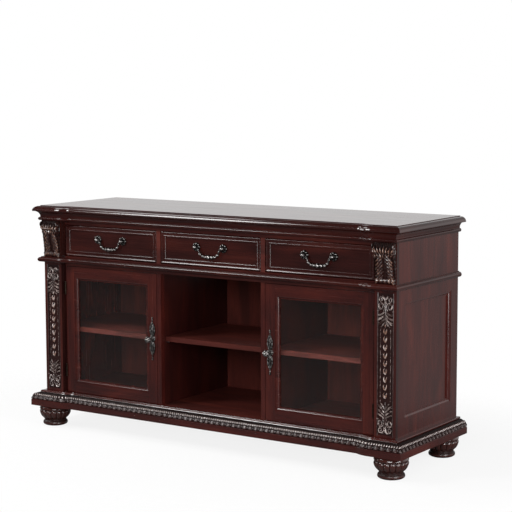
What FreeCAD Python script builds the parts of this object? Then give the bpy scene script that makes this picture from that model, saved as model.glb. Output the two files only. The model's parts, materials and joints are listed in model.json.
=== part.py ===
import FreeCAD
import Part
import math
import os

# TV stand in cherry wood, in millimetres.
# +X is the cabinet's right, -Y its front, +Z up. The origin is on the floor, under the middle of the plinth.

# Widths, from the middle of the cabinet outwards
centre_bay_width = 448.0
partition_thickness = 18.0
side_bay_width = 446.0
face_stile_width = 74.0
side_thickness = 20.0

# Heights, from the floor up
foot_height = 79.0
plinth_height = 58.0
bay_height = 496.5
drawer_rail_height = 37.5
drawer_opening_height = 122.5
frieze_height = 50.5
top_thickness = 22.0

# Depths and board thicknesses
case_depth = 437.5
face_frame_thickness = 20.0
board_thickness = 18.0
back_thickness = 5.0
back_inset = 3.0
cable_slot_height = 50.0

# Breakfront: the pilasters stand proud, and an S of two arcs joins each one to the middle
pilaster_width = 85.0
pilaster_projection = 15.0
pilaster_border = 11.0
pilaster_field_depth = 3.0
serpentine_run = 57.0

# Mouldings run this far before the faces that they follow
moulding_step = 10.5

# Top board and its thumbnail edge
top_side_step = 4.5
top_reach = 25.0
top_arris_reach = 1.5
top_arris_height = 3.0
top_nose_height = 2.5
top_edge_width = 40.0

# Cornice: a cove over a bead
cornice_reach = 20.0
cornice_height = 36.0
cornice_neck = 5.0
cornice_bead_height = 13.0
cornice_bead_reach = 11.0

# Waist: a fillet over a half-round bead
waist_drop = 4.0
waist_height = 21.0
waist_fillet_height = 3.0
waist_fillet_reach = 4.5
waist_reach = 14.5

# Plinth: a ledge, an ovolo and a plain band
plinth_side_step = 9.5
plinth_reach = 34.0
plinth_ledge_height = 7.0
plinth_ledge_reach = 7.0
plinth_ovolo_height = 28.0
plinth_ovolo_start = 5.0
plinth_band_lip = 2.0
back_rail_thickness = 20.0

# Bun feet and the blocks that they bolt to
foot_inset_side = 69.5
foot_inset_front = 62.5
foot_bulb_radius = 61.5
foot_bulb_height = 60.0
foot_top_radius = 55.0
foot_neck_radius = 42.0
foot_ring_radius = 48.0
foot_ring_height = 20.0
foot_sole_radius = 40.0
corner_block_size = 92.0
corner_block_housing = 8.0
foot_bolt_radius = 4.0
foot_bolt_depth = 30.0
bolt_clearance = 0.1

# Corbels on the pilasters
corbel_margin = 2.5
corbel_top_reach = 24.0
corbel_scroll_reach = 31.0
corbel_waist_reach = 6.0
corbel_toe_reach = 9.0
corbel_scroll_height = 34.0
corbel_toe_height = 20.0

# Side frames and their recessed panels
side_front_stile = 45.0
side_back_stile = 50.0
side_bottom_rail = 61.0
side_upper_board = 241.0
panel_thickness = 6.0
sticking_width = 16.0
sticking_depth = 11.0

# Shelves
shelf_height = 238.0
shelf_setback = 30.0
shelf_back_gap = 20.0
shelf_side_gap = 0.5
pin_radius = 2.5
pin_hole_depth = 8.0
pin_length = 18.0
pin_setback = 8.0
pin_clearance = 0.05

# Drawers
reveal = 2.0
drawer_front_thickness = 15.0
drawer_frame_height = 5.0
drawer_frame_width = 21.0
drawer_back_gap = 40.0
drawer_box_height = 94.0
drawer_box_lift = 6.0
drawer_side_thickness = 12.0
drawer_side_gap = 5.0
drawer_bottom_thickness = 6.0
drawer_bottom_lift = 8.0
runner_height = 12.0
runner_entry = 7.0
runner_clearance = 0.3
runner_setback = 15.0

# Bail pulls
pull_spacing = 120.0
pull_rise = 11.0
rosette_radius = 16.5
rosette_thickness = 4.0
pull_post_radius = 6.0
pull_post_length = 14.0
bail_axis_offset = 10.0
bail_wire_radius = 2.5
bail_end_margin = 1.0
bail_neck_gap = 7.0
bail_taper = 11.0
bail_drop = 34.0
bail_neck_bend = 6.0
bail_grip_bend = 14.0
bail_bead_radius = 4.5
bail_bead_pitch = 10.0
bail_clearance = 0.08

# Doors
door_stile = 40.0
door_rail = 36.0
glass_thickness = 4.0
glazing_bead_width = 10.0
door_pull_length = 164.0
door_pull_width = 26.0
door_pull_thickness = 3.0
door_pull_rim = 5.0
knob_radius = 13.0
knob_neck_radius = 4.5
knob_reach = 28.0

# Butt hinges, catches and screws
hinge_barrel_radius = 3.0
hinge_pin_radius = 1.5
hinge_pin_clearance = 0.05
hinge_stand_off = 0.2
hinge_length = 50.0
hinge_knuckle_gap = 0.3
hinge_leaf_width = 16.0
hinge_leaf_thickness = 0.85
hinge_inset = 60.0
catch_width = 12.0
catch_height = 50.0
catch_depth = 20.0
catch_gap = 0.5
catch_inset = 26.0
strike_thickness = 1.5
screw_head_radius = 4.0
screw_head_height = 2.0
screw_shank_radius = 1.75
screw_clearance = 0.1
screw_margin = 9.0
screws_across = 7

# Places worked out from the sizes above
part_in = centre_bay_width / 2
part_out = part_in + partition_thickness
stile_in = part_out + side_bay_width
side_in = stile_in + face_stile_width
case_half = side_in + side_thickness
pilaster_in = case_half - pilaster_width
plinth_half = case_half + plinth_side_step
top_half = case_half + top_side_step

overall_depth = case_depth + pilaster_projection + moulding_step + plinth_reach
back_y = overall_depth / 2
front_y = back_y - case_depth
post_y = front_y - pilaster_projection
post_line_y = post_y - moulding_step
middle_line_y = front_y - moulding_step
line_depth = front_y - post_line_y
frame_back_y = front_y + face_frame_thickness
inner_back_y = back_y - back_inset - back_thickness

plinth_top = foot_height + plinth_height
floor_z = plinth_top - board_thickness
rail_bottom = plinth_top + bay_height
rail_top = rail_bottom + drawer_rail_height
frieze_bottom = rail_top + drawer_opening_height
case_top = frieze_bottom + frieze_height
top_z = case_top + top_thickness
deck_bottom = rail_top - board_thickness
cornice_bottom = case_top - cornice_height
waist_top = rail_top - waist_drop
waist_bottom = waist_top - waist_height
shelf_bottom = plinth_top + shelf_height

drawer_low = rail_top + reveal
drawer_high = frieze_bottom - reveal
field_y = front_y + drawer_frame_height
box_front_y = field_y + drawer_front_thickness
box_low = rail_top + drawer_box_lift
runner_low = box_low + (drawer_box_height - runner_height) / 2
pull_z = (drawer_low + drawer_high) / 2 + pull_rise
bail_axis_y = field_y - bail_axis_offset

door_low = plinth_top + reveal
door_high = rail_bottom - reveal
door_free_x = part_out + reveal
door_hinge_x = stile_in - reveal
glass_front_y = front_y + sticking_depth
glass_back_y = glass_front_y + glass_thickness
hinge_axis_x = stile_in - reveal / 2
hinge_axis_y = front_y - hinge_barrel_radius - hinge_stand_off
door_pull_x = door_free_x + door_stile / 2
door_mid_z = (door_low + door_high) / 2

X = FreeCAD.Vector(1, 0, 0)
Y = FreeCAD.Vector(0, 1, 0)
Z = FreeCAD.Vector(0, 0, 1)
ORIGIN = FreeCAD.Vector(0, 0, 0)


# Helpers
def point(x, y, z):
    return FreeCAD.Vector(x, y, z)


def board(x0, x1, y0, y1, z0, z1):
    """A plain rectangular board between two corners."""
    return Part.makeBox(x1 - x0, y1 - y0, z1 - z0, point(x0, y0, z0))


def rod(start, direction, radius, length):
    """A round bar from a start point."""
    return Part.makeCylinder(radius, length, start, direction)


def other_side(shape):
    """The same piece on the cabinet's right, mirrored in the middle plane."""
    return shape.mirror(ORIGIN, X)


def group(solids):
    """Separate solids kept together under one name."""
    return Part.makeCompound(solids)


def outline_wire(steps, place):
    """Closed outline: a point is joined by a line, and a pair (through, end) by an arc."""
    edges = []
    last = place(*steps[0])
    for step in steps[1:] + steps[:1]:
        is_arc = isinstance(step[0], tuple)
        end = place(*step[1]) if is_arc else place(*step)
        if is_arc:
            edges.append(Part.Arc(last, place(*step[0]), end).toShape())
        elif last.distanceToPoint(end) > 1e-6:
            edges.append(Part.makeLine(last, end))
        last = end
    return Part.Wire(edges)


def prism(steps, place, along):
    """An outline carried straight along a vector."""
    return Part.Face(outline_wire(steps, place)).extrude(along)


def turned(steps, centre):
    """An outline in (radius, height) turned about the vertical through a centre point."""
    face = Part.Face(outline_wire(steps, lambda r, z: centre + point(r, 0, z)))
    return face.revolve(centre, Z, 360)


def carried(wire, path):
    """A closed section carried along a level path, kept upright."""
    shell = Part.BRepOffsetAPI.MakePipeShell(path)
    shell.setBiNormalMode(Z)
    shell.add(wire)
    shell.build()
    shell.makeSolid()
    return Part.Solid(shell.shape())


# Breakfront mouldings
def s_bend(start, end):
    """Two tangent arcs between two points, level at both ends."""
    run = end - start
    turn = 2 * math.atan2(abs(run.y), abs(run.x))
    radius = abs(run.x) / (2 * math.sin(turn))
    across = math.copysign(radius * math.sin(turn / 2), run.x)
    aside = math.copysign(radius * (1 - math.cos(turn / 2)), run.y)
    middle = (start + end) * 0.5
    swing = point(across, aside, 0)
    first = Part.Arc(start, start + swing, middle).toShape()
    second = Part.Arc(middle, end - swing, end).toShape()
    return [first, second]


def breakfront_path(end_x):
    """Front line: straight over each pilaster, an S bend, then straight across the middle."""
    bend_x = pilaster_in - serpentine_run
    outer = point(-end_x, post_line_y, 0)
    left_post = point(-pilaster_in, post_line_y, 0)
    left_mid = point(-bend_x, middle_line_y, 0)
    right_mid = point(bend_x, middle_line_y, 0)
    right_post = point(pilaster_in, post_line_y, 0)
    edges = [Part.makeLine(outer, left_post)]
    edges += s_bend(left_post, left_mid)
    edges.append(Part.makeLine(left_mid, right_mid))
    edges += s_bend(right_mid, right_post)
    edges.append(Part.makeLine(right_post, point(end_x, post_line_y, 0)))
    return Part.Wire(edges)


def moulding_lengths(outline, half, front_in, side_in_depth, reach):
    """Front, left and right lengths of a moulding, mitred at the front corners.

    outline(depth) gives the section in (reach, height), with its back at -depth.
    """
    over = 1.0
    low = -over
    rise = top_z + 2 * over
    end = half + reach + over
    section = outline_wire(outline(front_in), lambda r, z: point(-end, post_line_y - r, z))
    front = carried(section, breakfront_path(end))
    far = reach + over
    near = front_in + over
    mitre = [(-half - far, post_line_y - far), (half + far, post_line_y - far),
             (half - near, post_line_y + near), (-half + near, post_line_y + near)]
    front = front.common(prism(mitre, lambda x, y: point(x, y, low), Z * rise))
    near = side_in_depth + over
    run = back_y - post_line_y + far
    right = prism(outline(side_in_depth), lambda r, z: point(half + r, back_y, z), Y * -run)
    mitre = [(half + far, post_line_y - far), (half + far, back_y), (half - near, back_y),
             (half - near, post_line_y + near)]
    right = right.common(prism(mitre, lambda x, y: point(x, y, low), Z * rise))
    return front, other_side(right), right


def clear_of_case(lengths):
    """Moulding lengths cut back to the faces of the case and the pilasters."""
    case = board(-case_half, case_half, front_y, back_y, 0, top_z)
    posts = [board(x0, x0 + pilaster_width, post_y, front_y, 0, top_z) for x0 in (pilaster_in, -case_half)]
    return group([length.cut([case] + posts) for length in lengths])


def top_outline(depth):
    nose_z = case_top + top_nose_height
    arris_z = top_z - top_arris_height
    swell = (top_arris_reach + 0.72 * (top_reach - top_arris_reach), nose_z + 0.72 * (arris_z - nose_z))
    return [(-depth, case_top), (-depth, top_z), (top_arris_reach, top_z), (top_arris_reach, arris_z),
            (swell, (top_reach, nose_z)), (top_reach - top_nose_height / 2, case_top)]


def cornice_outline(depth):
    bead_top = cornice_bottom + cornice_bead_height
    hollow = 0.3
    cove_x = cornice_neck + hollow * (cornice_reach - cornice_neck)
    cove_z = case_top - hollow * (case_top - bead_top)
    bead = (cornice_bead_reach, (bead_top + cornice_bottom) / 2)
    return [(-depth, cornice_bottom), (-depth, case_top), (cornice_reach, case_top),
            ((cove_x, cove_z), (cornice_neck, bead_top)), (bead, (cornice_neck, cornice_bottom))]


def waist_outline(depth):
    bead_top = waist_top - waist_fillet_height
    bead = (waist_reach, (bead_top + waist_bottom) / 2)
    return [(-depth, waist_bottom), (-depth, waist_top), (waist_fillet_reach, waist_top),
            (waist_fillet_reach, bead_top), (bead, (waist_fillet_reach, waist_bottom))]


def plinth_outline(depth):
    ledge_low = plinth_top - plinth_ledge_height
    ovolo_low = ledge_low - plinth_ovolo_height
    ledge_in = plinth_ledge_reach - plinth_ledge_height / 2
    ledge = (plinth_ledge_reach, (plinth_top + ledge_low) / 2)
    band = plinth_reach - plinth_band_lip
    swell = (plinth_ovolo_start + 0.68 * (band - plinth_ovolo_start), ovolo_low + 0.68 * plinth_ovolo_height)
    return [(-depth, foot_height), (-depth, plinth_top), (ledge_in, plinth_top),
            (ledge, (ledge_in, ledge_low)), (plinth_ovolo_start, ledge_low), (swell, (band, ovolo_low)),
            (plinth_reach, ovolo_low), (plinth_reach, foot_height)]


def top_board():
    """One board whose front and side edges carry the thumbnail moulding."""
    front, left, right = moulding_lengths(top_outline, top_half, top_edge_width, top_edge_width, top_reach)
    lap = top_edge_width / 4
    inner = top_half - top_edge_width + lap
    field = board(-inner, inner, post_line_y + top_edge_width - lap, back_y, case_top, top_z)
    return field.fuse([front, left, right]).removeSplitter()


def cornice_moulding():
    return clear_of_case(moulding_lengths(cornice_outline, case_half, line_depth, moulding_step, cornice_reach))


def waist_moulding():
    return clear_of_case(moulding_lengths(waist_outline, case_half, line_depth, moulding_step, waist_reach))


def plinth_lengths():
    """Front, left and right plinth mouldings, set against the bottom board and housed for the blocks."""
    depths = (line_depth, plinth_side_step)
    front, left, right = moulding_lengths(plinth_outline, plinth_half, *depths, plinth_reach)
    behind = board(-plinth_half, plinth_half, front_y, back_y, 0, top_z)
    blocks = [corner_block(centre) for centre in foot_centres().values()]
    return front.cut([behind] + blocks), left, right


def plinth_back_rail():
    """Plain rail that closes the plinth at the back."""
    y0 = back_y - back_rail_thickness
    return board(-case_half, case_half, y0, back_y, foot_height, floor_z)


# Applied strips round an opening
def mitred_strips(corners, outward, outline):
    """Four mitred strips inside a rectangle of corners; outline is in (inwards, outwards)."""
    width = 0
    for step in outline:
        pair = step[1] if isinstance(step[0], tuple) else step
        width = max(width, pair[0])
    reach = sticking_depth + drawer_frame_height
    strips = []
    middle = (corners[0] + corners[2]) * 0.5
    for i in range(4):
        start = corners[i]
        end = corners[(i + 1) % 4]
        along = (end - start).normalize()
        inward = outward.cross(along).normalize()
        if (middle - start).dot(inward) < 0:
            inward = inward * -1
        strip = prism(outline, lambda u, v: start + inward * u + outward * v, end - start)
        mitre = [start, end, end + (inward - along) * width, start + (inward + along) * width, start]
        wedge = Part.Face(Part.makePolygon(mitre)).extrude(outward * (2 * reach))
        wedge.translate(outward * -reach)
        strips.append(strip.common(wedge))
    return strips


def sticking_outline():
    """Moulded inner edge of a frame: a small step, an ovolo and a quirk, from the panel outwards."""
    step = 1.5
    toe = 2.5
    end = sticking_width - 2 * step
    swell = (step + 0.68 * (end - step), toe + 0.68 * (sticking_depth - step - toe))
    return [(0, 0), (0, sticking_depth), (step, sticking_depth), (step, sticking_depth - step),
            (swell, (end, toe)), (sticking_width, toe), (sticking_width, 0)]


def drawer_frame_outline():
    """Applied drawer frame: a rounded outer edge, a shallow hollow, and a bead beside the field."""
    wide = drawer_frame_width
    high = drawer_frame_height
    edge_low = 0.4 * high
    edge_end = 0.2 * wide
    bead_start = 0.6 * wide
    bead_low = 0.62 * high
    bead_foot = 0.2 * high
    corner = (0.25 * edge_end, edge_low + 0.7 * (high - edge_low))
    hollow = ((edge_end + bead_start) / 2, 0.66 * high)
    crest = (0.78 * wide, high)
    return [(0, 0), (0, edge_low), (corner, (edge_end, high)), (hollow, (bead_start, bead_low)),
            (crest, (wide, bead_foot)), (wide, 0)]


# Case
def side_frame():
    """Left side: front and back stiles, upper board and bottom rail."""
    x0 = -case_half
    x1 = -side_in
    front = front_y + side_front_stile
    back = back_y - side_back_stile
    front_stile = board(x0, x1, front_y, front, plinth_top, case_top)
    back_stile = board(x0, x1, back, back_y, plinth_top, case_top)
    upper = board(x0, x1, front, back, case_top - side_upper_board, case_top)
    bottom = board(x0, x1, front, back, plinth_top, plinth_top + side_bottom_rail)
    solids = [front_stile, back_stile, upper, bottom]
    return group([solid.cut(shelf_pin_holes()) for solid in solids])


def side_panel():
    """Left recessed panel with the moulding that holds it."""
    face_x = -case_half + sticking_depth
    front = front_y + side_front_stile
    back = back_y - side_back_stile
    low = plinth_top + side_bottom_rail
    high = case_top - side_upper_board
    panel = board(face_x, face_x + panel_thickness, front, back, low, high)
    corners = [point(face_x, front, low), point(face_x, back, low),
               point(face_x, back, high), point(face_x, front, high)]
    return group([panel] + mitred_strips(corners, X * -1, sticking_outline()))


def pilaster():
    """Left pilaster with a sunk field between the waist and the plinth."""
    x0 = -case_half
    x1 = -pilaster_in
    post = board(x0, x1, post_y, front_y, plinth_top, case_top)
    field = board(x0 + pilaster_border, x1 - pilaster_border, post_y, post_y + pilaster_field_depth,
                  plinth_top + pilaster_border, waist_bottom - pilaster_border)
    return post.cut(field)


def corbel():
    """Left corbel: a scrolled head that tapers to a small toe, in side view."""
    scroll_low = cornice_bottom - corbel_scroll_height
    toe_top = waist_top + corbel_toe_height
    middle = (scroll_low + toe_top) / 2
    shank = 0.38 * (corbel_top_reach - corbel_waist_reach) + corbel_waist_reach
    steps = [(0, waist_top), (0, cornice_bottom), (corbel_top_reach, cornice_bottom),
             ((corbel_scroll_reach, (cornice_bottom + scroll_low) / 2), (corbel_top_reach, scroll_low)),
             ((shank, middle), (corbel_waist_reach, toe_top)),
             ((corbel_toe_reach, waist_top + corbel_toe_height / 2), (corbel_waist_reach, waist_top))]
    width = pilaster_width - 2 * corbel_margin
    return prism(steps, lambda r, z: point(-case_half + corbel_margin, post_y - r, z), X * width)


def partition_boards():
    """Left partition of the lower bays, with the holes for its shelf pins."""
    body = board(-part_out, -part_in, frame_back_y, inner_back_y, plinth_top, deck_bottom)
    return body.cut(shelf_pin_holes())


def top_back_rail():
    """Rail under the top at the back, which the upper back sheet is screwed to."""
    y0 = inner_back_y - back_rail_thickness
    return board(-side_in, side_in, y0, inner_back_y, cornice_bottom, case_top)


def frieze_rails():
    """Front rail above the drawers, and the rail behind it at the back."""
    front = board(-stile_in, stile_in, front_y, frame_back_y, frieze_bottom, case_top)
    return group([front, top_back_rail()])


def drawer_partitions():
    """Partitions between the drawers, and a guide at each outer drawer's far side."""
    front = board(part_in, part_out, front_y, frame_back_y, rail_top, frieze_bottom)
    rear = board(part_in, part_out, frame_back_y, inner_back_y, rail_top, case_top).cut(top_back_rail())
    middle = front.fuse(rear).removeSplitter()
    guide_out = stile_in + partition_thickness
    guide = board(stile_in, guide_out, frame_back_y, inner_back_y, rail_top, frieze_bottom)
    return group([middle, other_side(middle), guide, other_side(guide)])


def back_panel():
    """Upper sheet behind the drawers and lower sheet behind the bays, with a cable slot between."""
    y0 = inner_back_y
    y1 = inner_back_y + back_thickness
    upper = board(-side_in, side_in, y0, y1, deck_bottom, case_top)
    lower = board(-side_in, side_in, y0, y1, floor_z, deck_bottom - cable_slot_height)
    radius = screw_shank_radius + screw_clearance
    holes = group([rod(point(x, y0, z), Y, radius, back_thickness) for x, z in screw_places()])
    return group([upper.cut(holes), lower.cut(holes)])


def screw_places():
    """Screws along the bottom board, the deck and the top of the back panel."""
    rows = (floor_z + board_thickness / 2, deck_bottom + board_thickness / 2, case_top - screw_margin)
    first = -side_in + screw_margin
    pitch = -2 * first / (screws_across - 1)
    return [(first + i * pitch, z) for z in rows for i in range(screws_across)]


def back_screws():
    """Pan-head screws, head on the panel and shank through it."""
    face = inner_back_y + back_thickness
    solids = []
    for x, z in screw_places():
        head = rod(point(x, face, z), Y, screw_head_radius, screw_head_height)
        shank = rod(point(x, inner_back_y, z), Y, screw_shank_radius, back_thickness)
        solids.append(head.fuse(shank))
    return group(solids)


# Shelves
def shelf(x0, x1):
    y0 = front_y + shelf_setback
    y1 = inner_back_y - shelf_back_gap
    shelf_top = shelf_bottom + board_thickness
    return board(x0 + shelf_side_gap, x1 - shelf_side_gap, y0, y1, shelf_bottom, shelf_top)


def pin_places():
    """Wall face x and the way each shelf pin points out of it, front and back of all three bays."""
    walls = ((-part_in, 1), (part_in, -1), (-part_out, -1), (part_out, 1), (-side_in, 1), (side_in, -1))
    depths = (front_y + shelf_setback + pin_setback, inner_back_y - shelf_back_gap - pin_setback)
    return [(x, way, y) for x, way in walls for y in depths]


def shelf_pins():
    """Plain pins half in the wall, which the shelves lie on."""
    z = shelf_bottom - pin_radius
    start = [(point(x - way * pin_hole_depth, y, z), X * way) for x, way, y in pin_places()]
    return group([rod(place, way, pin_radius, pin_length) for place, way in start])


def shelf_pin_holes():
    z = shelf_bottom - pin_radius
    start = [(point(x - way * pin_hole_depth, y, z), X * way) for x, way, y in pin_places()]
    return group([rod(place, way, pin_radius + pin_clearance, pin_hole_depth) for place, way in start])


# Feet
def foot_centres():
    """Foot names and the points under them."""
    x = plinth_half + plinth_reach - foot_inset_side
    front = post_line_y - plinth_reach + foot_inset_front
    back = back_y - foot_bulb_radius
    return {"front_left": point(-x, front, 0), "front_right": point(x, front, 0),
            "back_left": point(-x, back, 0), "back_right": point(x, back, 0)}


def bun_foot(centre):
    """Turned foot: a rounded base ring, a neck and a bulb, bored for its bolt."""
    ring_low = 0.4 * foot_ring_height
    ring_high = 0.8 * foot_ring_height
    shoulder = (foot_neck_radius + 0.75 * (foot_bulb_radius - foot_neck_radius),
                foot_ring_height + 0.42 * (foot_bulb_height - foot_ring_height))
    crown_radius = foot_bulb_radius - 0.2 * (foot_bulb_radius - foot_top_radius)
    crown = (crown_radius, (foot_bulb_height + foot_height) / 2)
    steps = [(0, 0), (foot_sole_radius, 0), ((foot_ring_radius, ring_low), (foot_ring_radius - 2, ring_high)),
             (foot_neck_radius, foot_ring_height), (shoulder, (foot_bulb_radius, foot_bulb_height)),
             (crown, (foot_top_radius, foot_height)), (0, foot_height)]
    return turned(steps, centre).cut(foot_bolt(centre, bolt_clearance))


def foot_bolt(centre, extra=0.0):
    """Bolt that runs from the foot up into its corner block."""
    start = centre + Z * (foot_height - foot_bolt_depth - extra)
    return rod(start, Z, foot_bolt_radius + extra, 2 * (foot_bolt_depth + extra))


def corner_block(centre):
    """Plain block over a foot, under the bottom board; a front block enters a housing in the plinth."""
    x0 = case_half - corner_block_size if centre.x > 0 else -case_half
    back = back_y - back_rail_thickness - corner_block_size
    y0 = front_y - corner_block_housing if centre.y < 0 else back
    return board(x0, x0 + corner_block_size, y0, y0 + corner_block_size, foot_height, floor_z)


def corner_blocks():
    """The four blocks, bored for the feet's bolts."""
    centres = foot_centres().values()
    return group([corner_block(centre).cut(foot_bolt(centre, bolt_clearance)) for centre in centres])


# Drawers
drawer_bays = {"left": (-stile_in, -part_out), "centre": (-part_in, part_in), "right": (part_out, stile_in)}


def drawer_front(x0, x1):
    """Flat field board with an applied mitred frame."""
    left = x0 + reveal
    right = x1 - reveal
    field = board(left, right, field_y, box_front_y, drawer_low, drawer_high)
    corners = [point(left, field_y, drawer_low), point(right, field_y, drawer_low),
               point(right, field_y, drawer_high), point(left, field_y, drawer_high)]
    return group([field] + mitred_strips(corners, Y * -1, drawer_frame_outline()))


def drawer_box(x0, x1):
    """Two grooved sides, a back and a bottom."""
    left = x0 + drawer_side_gap
    right = x1 - drawer_side_gap
    back = inner_back_y - drawer_back_gap
    high = box_low + drawer_box_height
    t = drawer_side_thickness
    groove_low = runner_low - runner_clearance
    groove_high = runner_low + runner_height + runner_clearance
    groove_in = runner_entry + runner_clearance
    sides = []
    for wall, cut in ((left, left), (right - t, right - groove_in)):
        side = board(wall, wall + t, box_front_y, back, box_low, high)
        groove = board(cut, cut + groove_in, box_front_y, back, groove_low, groove_high)
        sides.append(side.cut(groove))
    rear = board(left + t, right - t, back - t, back, box_low, high)
    floor_low = box_low + drawer_bottom_lift
    bottom = board(left + t, right - t, box_front_y, back - t, floor_low, floor_low + drawer_bottom_thickness)
    return group(sides + [rear, bottom])


def drawer_runners():
    """Hardwood strips on the partitions and guides, which the grooves ride on."""
    width = drawer_side_gap + runner_entry
    y0 = box_front_y + runner_setback
    runner_high = runner_low + runner_height
    solids = []
    for x0, x1 in drawer_bays.values():
        for start in (x0, x1 - width):
            solids.append(board(start, start + width, y0, inner_back_y, runner_low, runner_high))
    return group(solids)


def pull_mounts(middle):
    """Two rosettes with posts, bored across for the bail's ends."""
    solids = []
    for side in (-1, 1):
        x = middle + side * pull_spacing / 2
        rosette = rod(point(x, field_y, pull_z), Y * -1, rosette_radius, rosette_thickness)
        post = rod(point(x, field_y, pull_z), Y * -1, pull_post_radius, pull_post_length)
        cap = Part.makeSphere(pull_post_radius, point(x, field_y - pull_post_length, pull_z), Y)
        bore_start = point(x - 2 * pull_post_radius, bail_axis_y, pull_z)
        bore = rod(bore_start, X, bail_wire_radius + bail_clearance, 4 * pull_post_radius)
        solids.append(rosette.fuse([post, cap]).removeSplitter().cut(bore))
    return group(solids)


def bail(middle):
    """Swinging handle: ends out through the posts, arms sloping in to a grip with three beads."""
    end = pull_spacing / 2 + pull_post_radius + bail_end_margin
    neck = pull_spacing / 2 - pull_post_radius - bail_neck_gap
    grip = neck - bail_taper
    knots = [(-end, 0), (-neck, 0), (-grip, -bail_drop), (grip, -bail_drop), (neck, 0), (end, 0)]
    bends = [bail_neck_bend, bail_grip_bend, bail_grip_bend, bail_neck_bend]
    places = [point(middle + x, bail_axis_y, pull_z + z) for x, z in knots]
    pieces = []
    start = places[0]
    for before, corner, after, bend in zip(places, places[1:], places[2:], bends):
        into = (corner - before).normalize()
        out = (after - corner).normalize()
        turn = into.getAngle(out)
        back_off = bend * math.tan(turn / 2)
        enter = corner - into * back_off
        centre = corner + (out - into).normalize() * (bend / math.cos(turn / 2))
        section = Part.Face(Part.Wire(Part.makeCircle(bail_wire_radius, enter, into)))
        pieces.append(rod(start, into, bail_wire_radius, start.distanceToPoint(enter)))
        pieces.append(section.revolve(centre, into.cross(out), math.degrees(turn)))
        start = corner + out * back_off
    pieces.append(rod(start, X, bail_wire_radius, start.distanceToPoint(places[-1])))
    low = point(middle, bail_axis_y, pull_z - bail_drop)
    for i in (-1, 0, 1):
        pieces.append(Part.makeSphere(bail_bead_radius, low + X * (i * bail_bead_pitch), X))
    return pieces[0].fuse(pieces[1:]).removeSplitter()


# Doors, made on the left and mirrored
def door_frame():
    """Stiles, rails, the sticking round the glass and the beads behind it."""
    x0 = -door_hinge_x
    x1 = -door_free_x
    y1 = frame_back_y
    inner0 = x0 + door_stile
    inner1 = x1 - door_stile
    low = door_low + door_rail
    high = door_high - door_rail
    solids = [board(x0, inner0, front_y, y1, door_low, door_high),
              board(inner1, x1, front_y, y1, door_low, door_high),
              board(inner0, inner1, front_y, y1, door_low, low),
              board(inner0, inner1, front_y, y1, high, door_high)]
    corners = [point(inner0, glass_front_y, low), point(inner1, glass_front_y, low),
               point(inner1, glass_front_y, high), point(inner0, glass_front_y, high)]
    solids += mitred_strips(corners, Y * -1, sticking_outline())
    behind = [point(corner.x, glass_back_y, corner.z) for corner in corners]
    bead_depth = y1 - glass_back_y
    width = glazing_bead_width
    bead = [(0, 0), (width, 0), (width, bead_depth / 2), (width / 2, bead_depth), (0, bead_depth)]
    solids += mitred_strips(behind, Y, bead)
    return group(solids)


def door_glass():
    """Pane held between the sticking and the beads."""
    x0 = -door_hinge_x + door_stile
    x1 = -door_free_x - door_stile
    return board(x0, x1, glass_front_y, glass_back_y, door_low + door_rail, door_high - door_rail)


def door_pull():
    """Tall plate with a pierced leaf above and below a boss, and a turned knob at its middle."""
    half = door_pull_length / 2
    side = door_pull_width / 2
    boss = half / 8
    plate_steps = [(0, -half), ((side, -half / 2), (side / 2, -boss)), ((side, 0), (side / 2, boss)),
                   ((side, half / 2), (0, half)), ((-side, half / 2), (-side / 2, boss)),
                   ((-side, 0), (-side / 2, -boss)), ((-side, -half / 2), (0, -half))]
    place = lambda x, z: point(-door_pull_x + x, front_y, door_mid_z + z)
    plate = prism(plate_steps, place, Y * -door_pull_thickness)
    inner = side - door_pull_rim
    near = boss + door_pull_rim
    far = half - 2.5 * door_pull_rim
    for up in (-1, 1):
        wide = up * half / 2
        eye = [(0, up * near), ((inner, wide), (0, up * far)), ((-inner, wide), (0, up * near))]
        plate = plate.cut(prism(eye, place, Y * -door_pull_thickness))
    neck_start = point(-door_pull_x, front_y - door_pull_thickness, door_mid_z)
    neck = rod(neck_start, Y * -1, knob_neck_radius, knob_reach - door_pull_thickness)
    ball = Part.makeSphere(knob_radius, point(-door_pull_x, front_y - knob_reach, door_mid_z), Y)
    return group([plate, neck.fuse(ball).removeSplitter()])


def hinge_heights():
    low = door_low + hinge_inset
    high = door_high - hinge_inset - hinge_length
    return (low, high)


def knuckle(z0, z1, bore):
    """One round of the hinge barrel, bored for the pin."""
    axis = point(-hinge_axis_x, hinge_axis_y, z0)
    return rod(axis, Z, hinge_barrel_radius, z1 - z0).cut(rod(axis, Z, bore, z1 - z0))


def hinge_leaf(wall_x, way, z0, z1, rounds, bore):
    """A leaf flat on its wall in the reveal, joined to its rounds of the barrel."""
    edge = wall_x + way * hinge_leaf_thickness
    x0 = min(wall_x, edge)
    x1 = max(wall_x, edge)
    y1 = front_y + hinge_leaf_width
    axis = point(-hinge_axis_x, hinge_axis_y, 0)
    relief = rod(axis + Z * z0, Z, hinge_barrel_radius + hinge_knuckle_gap, z1 - z0)
    leaf = board(x0, x1, hinge_axis_y, y1, z0, z1).cut(relief)
    pieces = []
    for low, high in rounds:
        eye = rod(axis + Z * low, Z, bore, high - low)
        pieces.append(board(x0, x1, hinge_axis_y, y1, low, high).cut(eye))
        pieces.append(knuckle(low, high, bore))
    return leaf.fuse(pieces).removeSplitter()


def hinge_rounds(z):
    """Heights of the barrel's lower, middle and upper rounds."""
    third = hinge_length / 3
    gap = hinge_knuckle_gap
    return [(z, z + third - gap), (z + third, z + 2 * third - gap), (z + 2 * third, z + hinge_length)]


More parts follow.
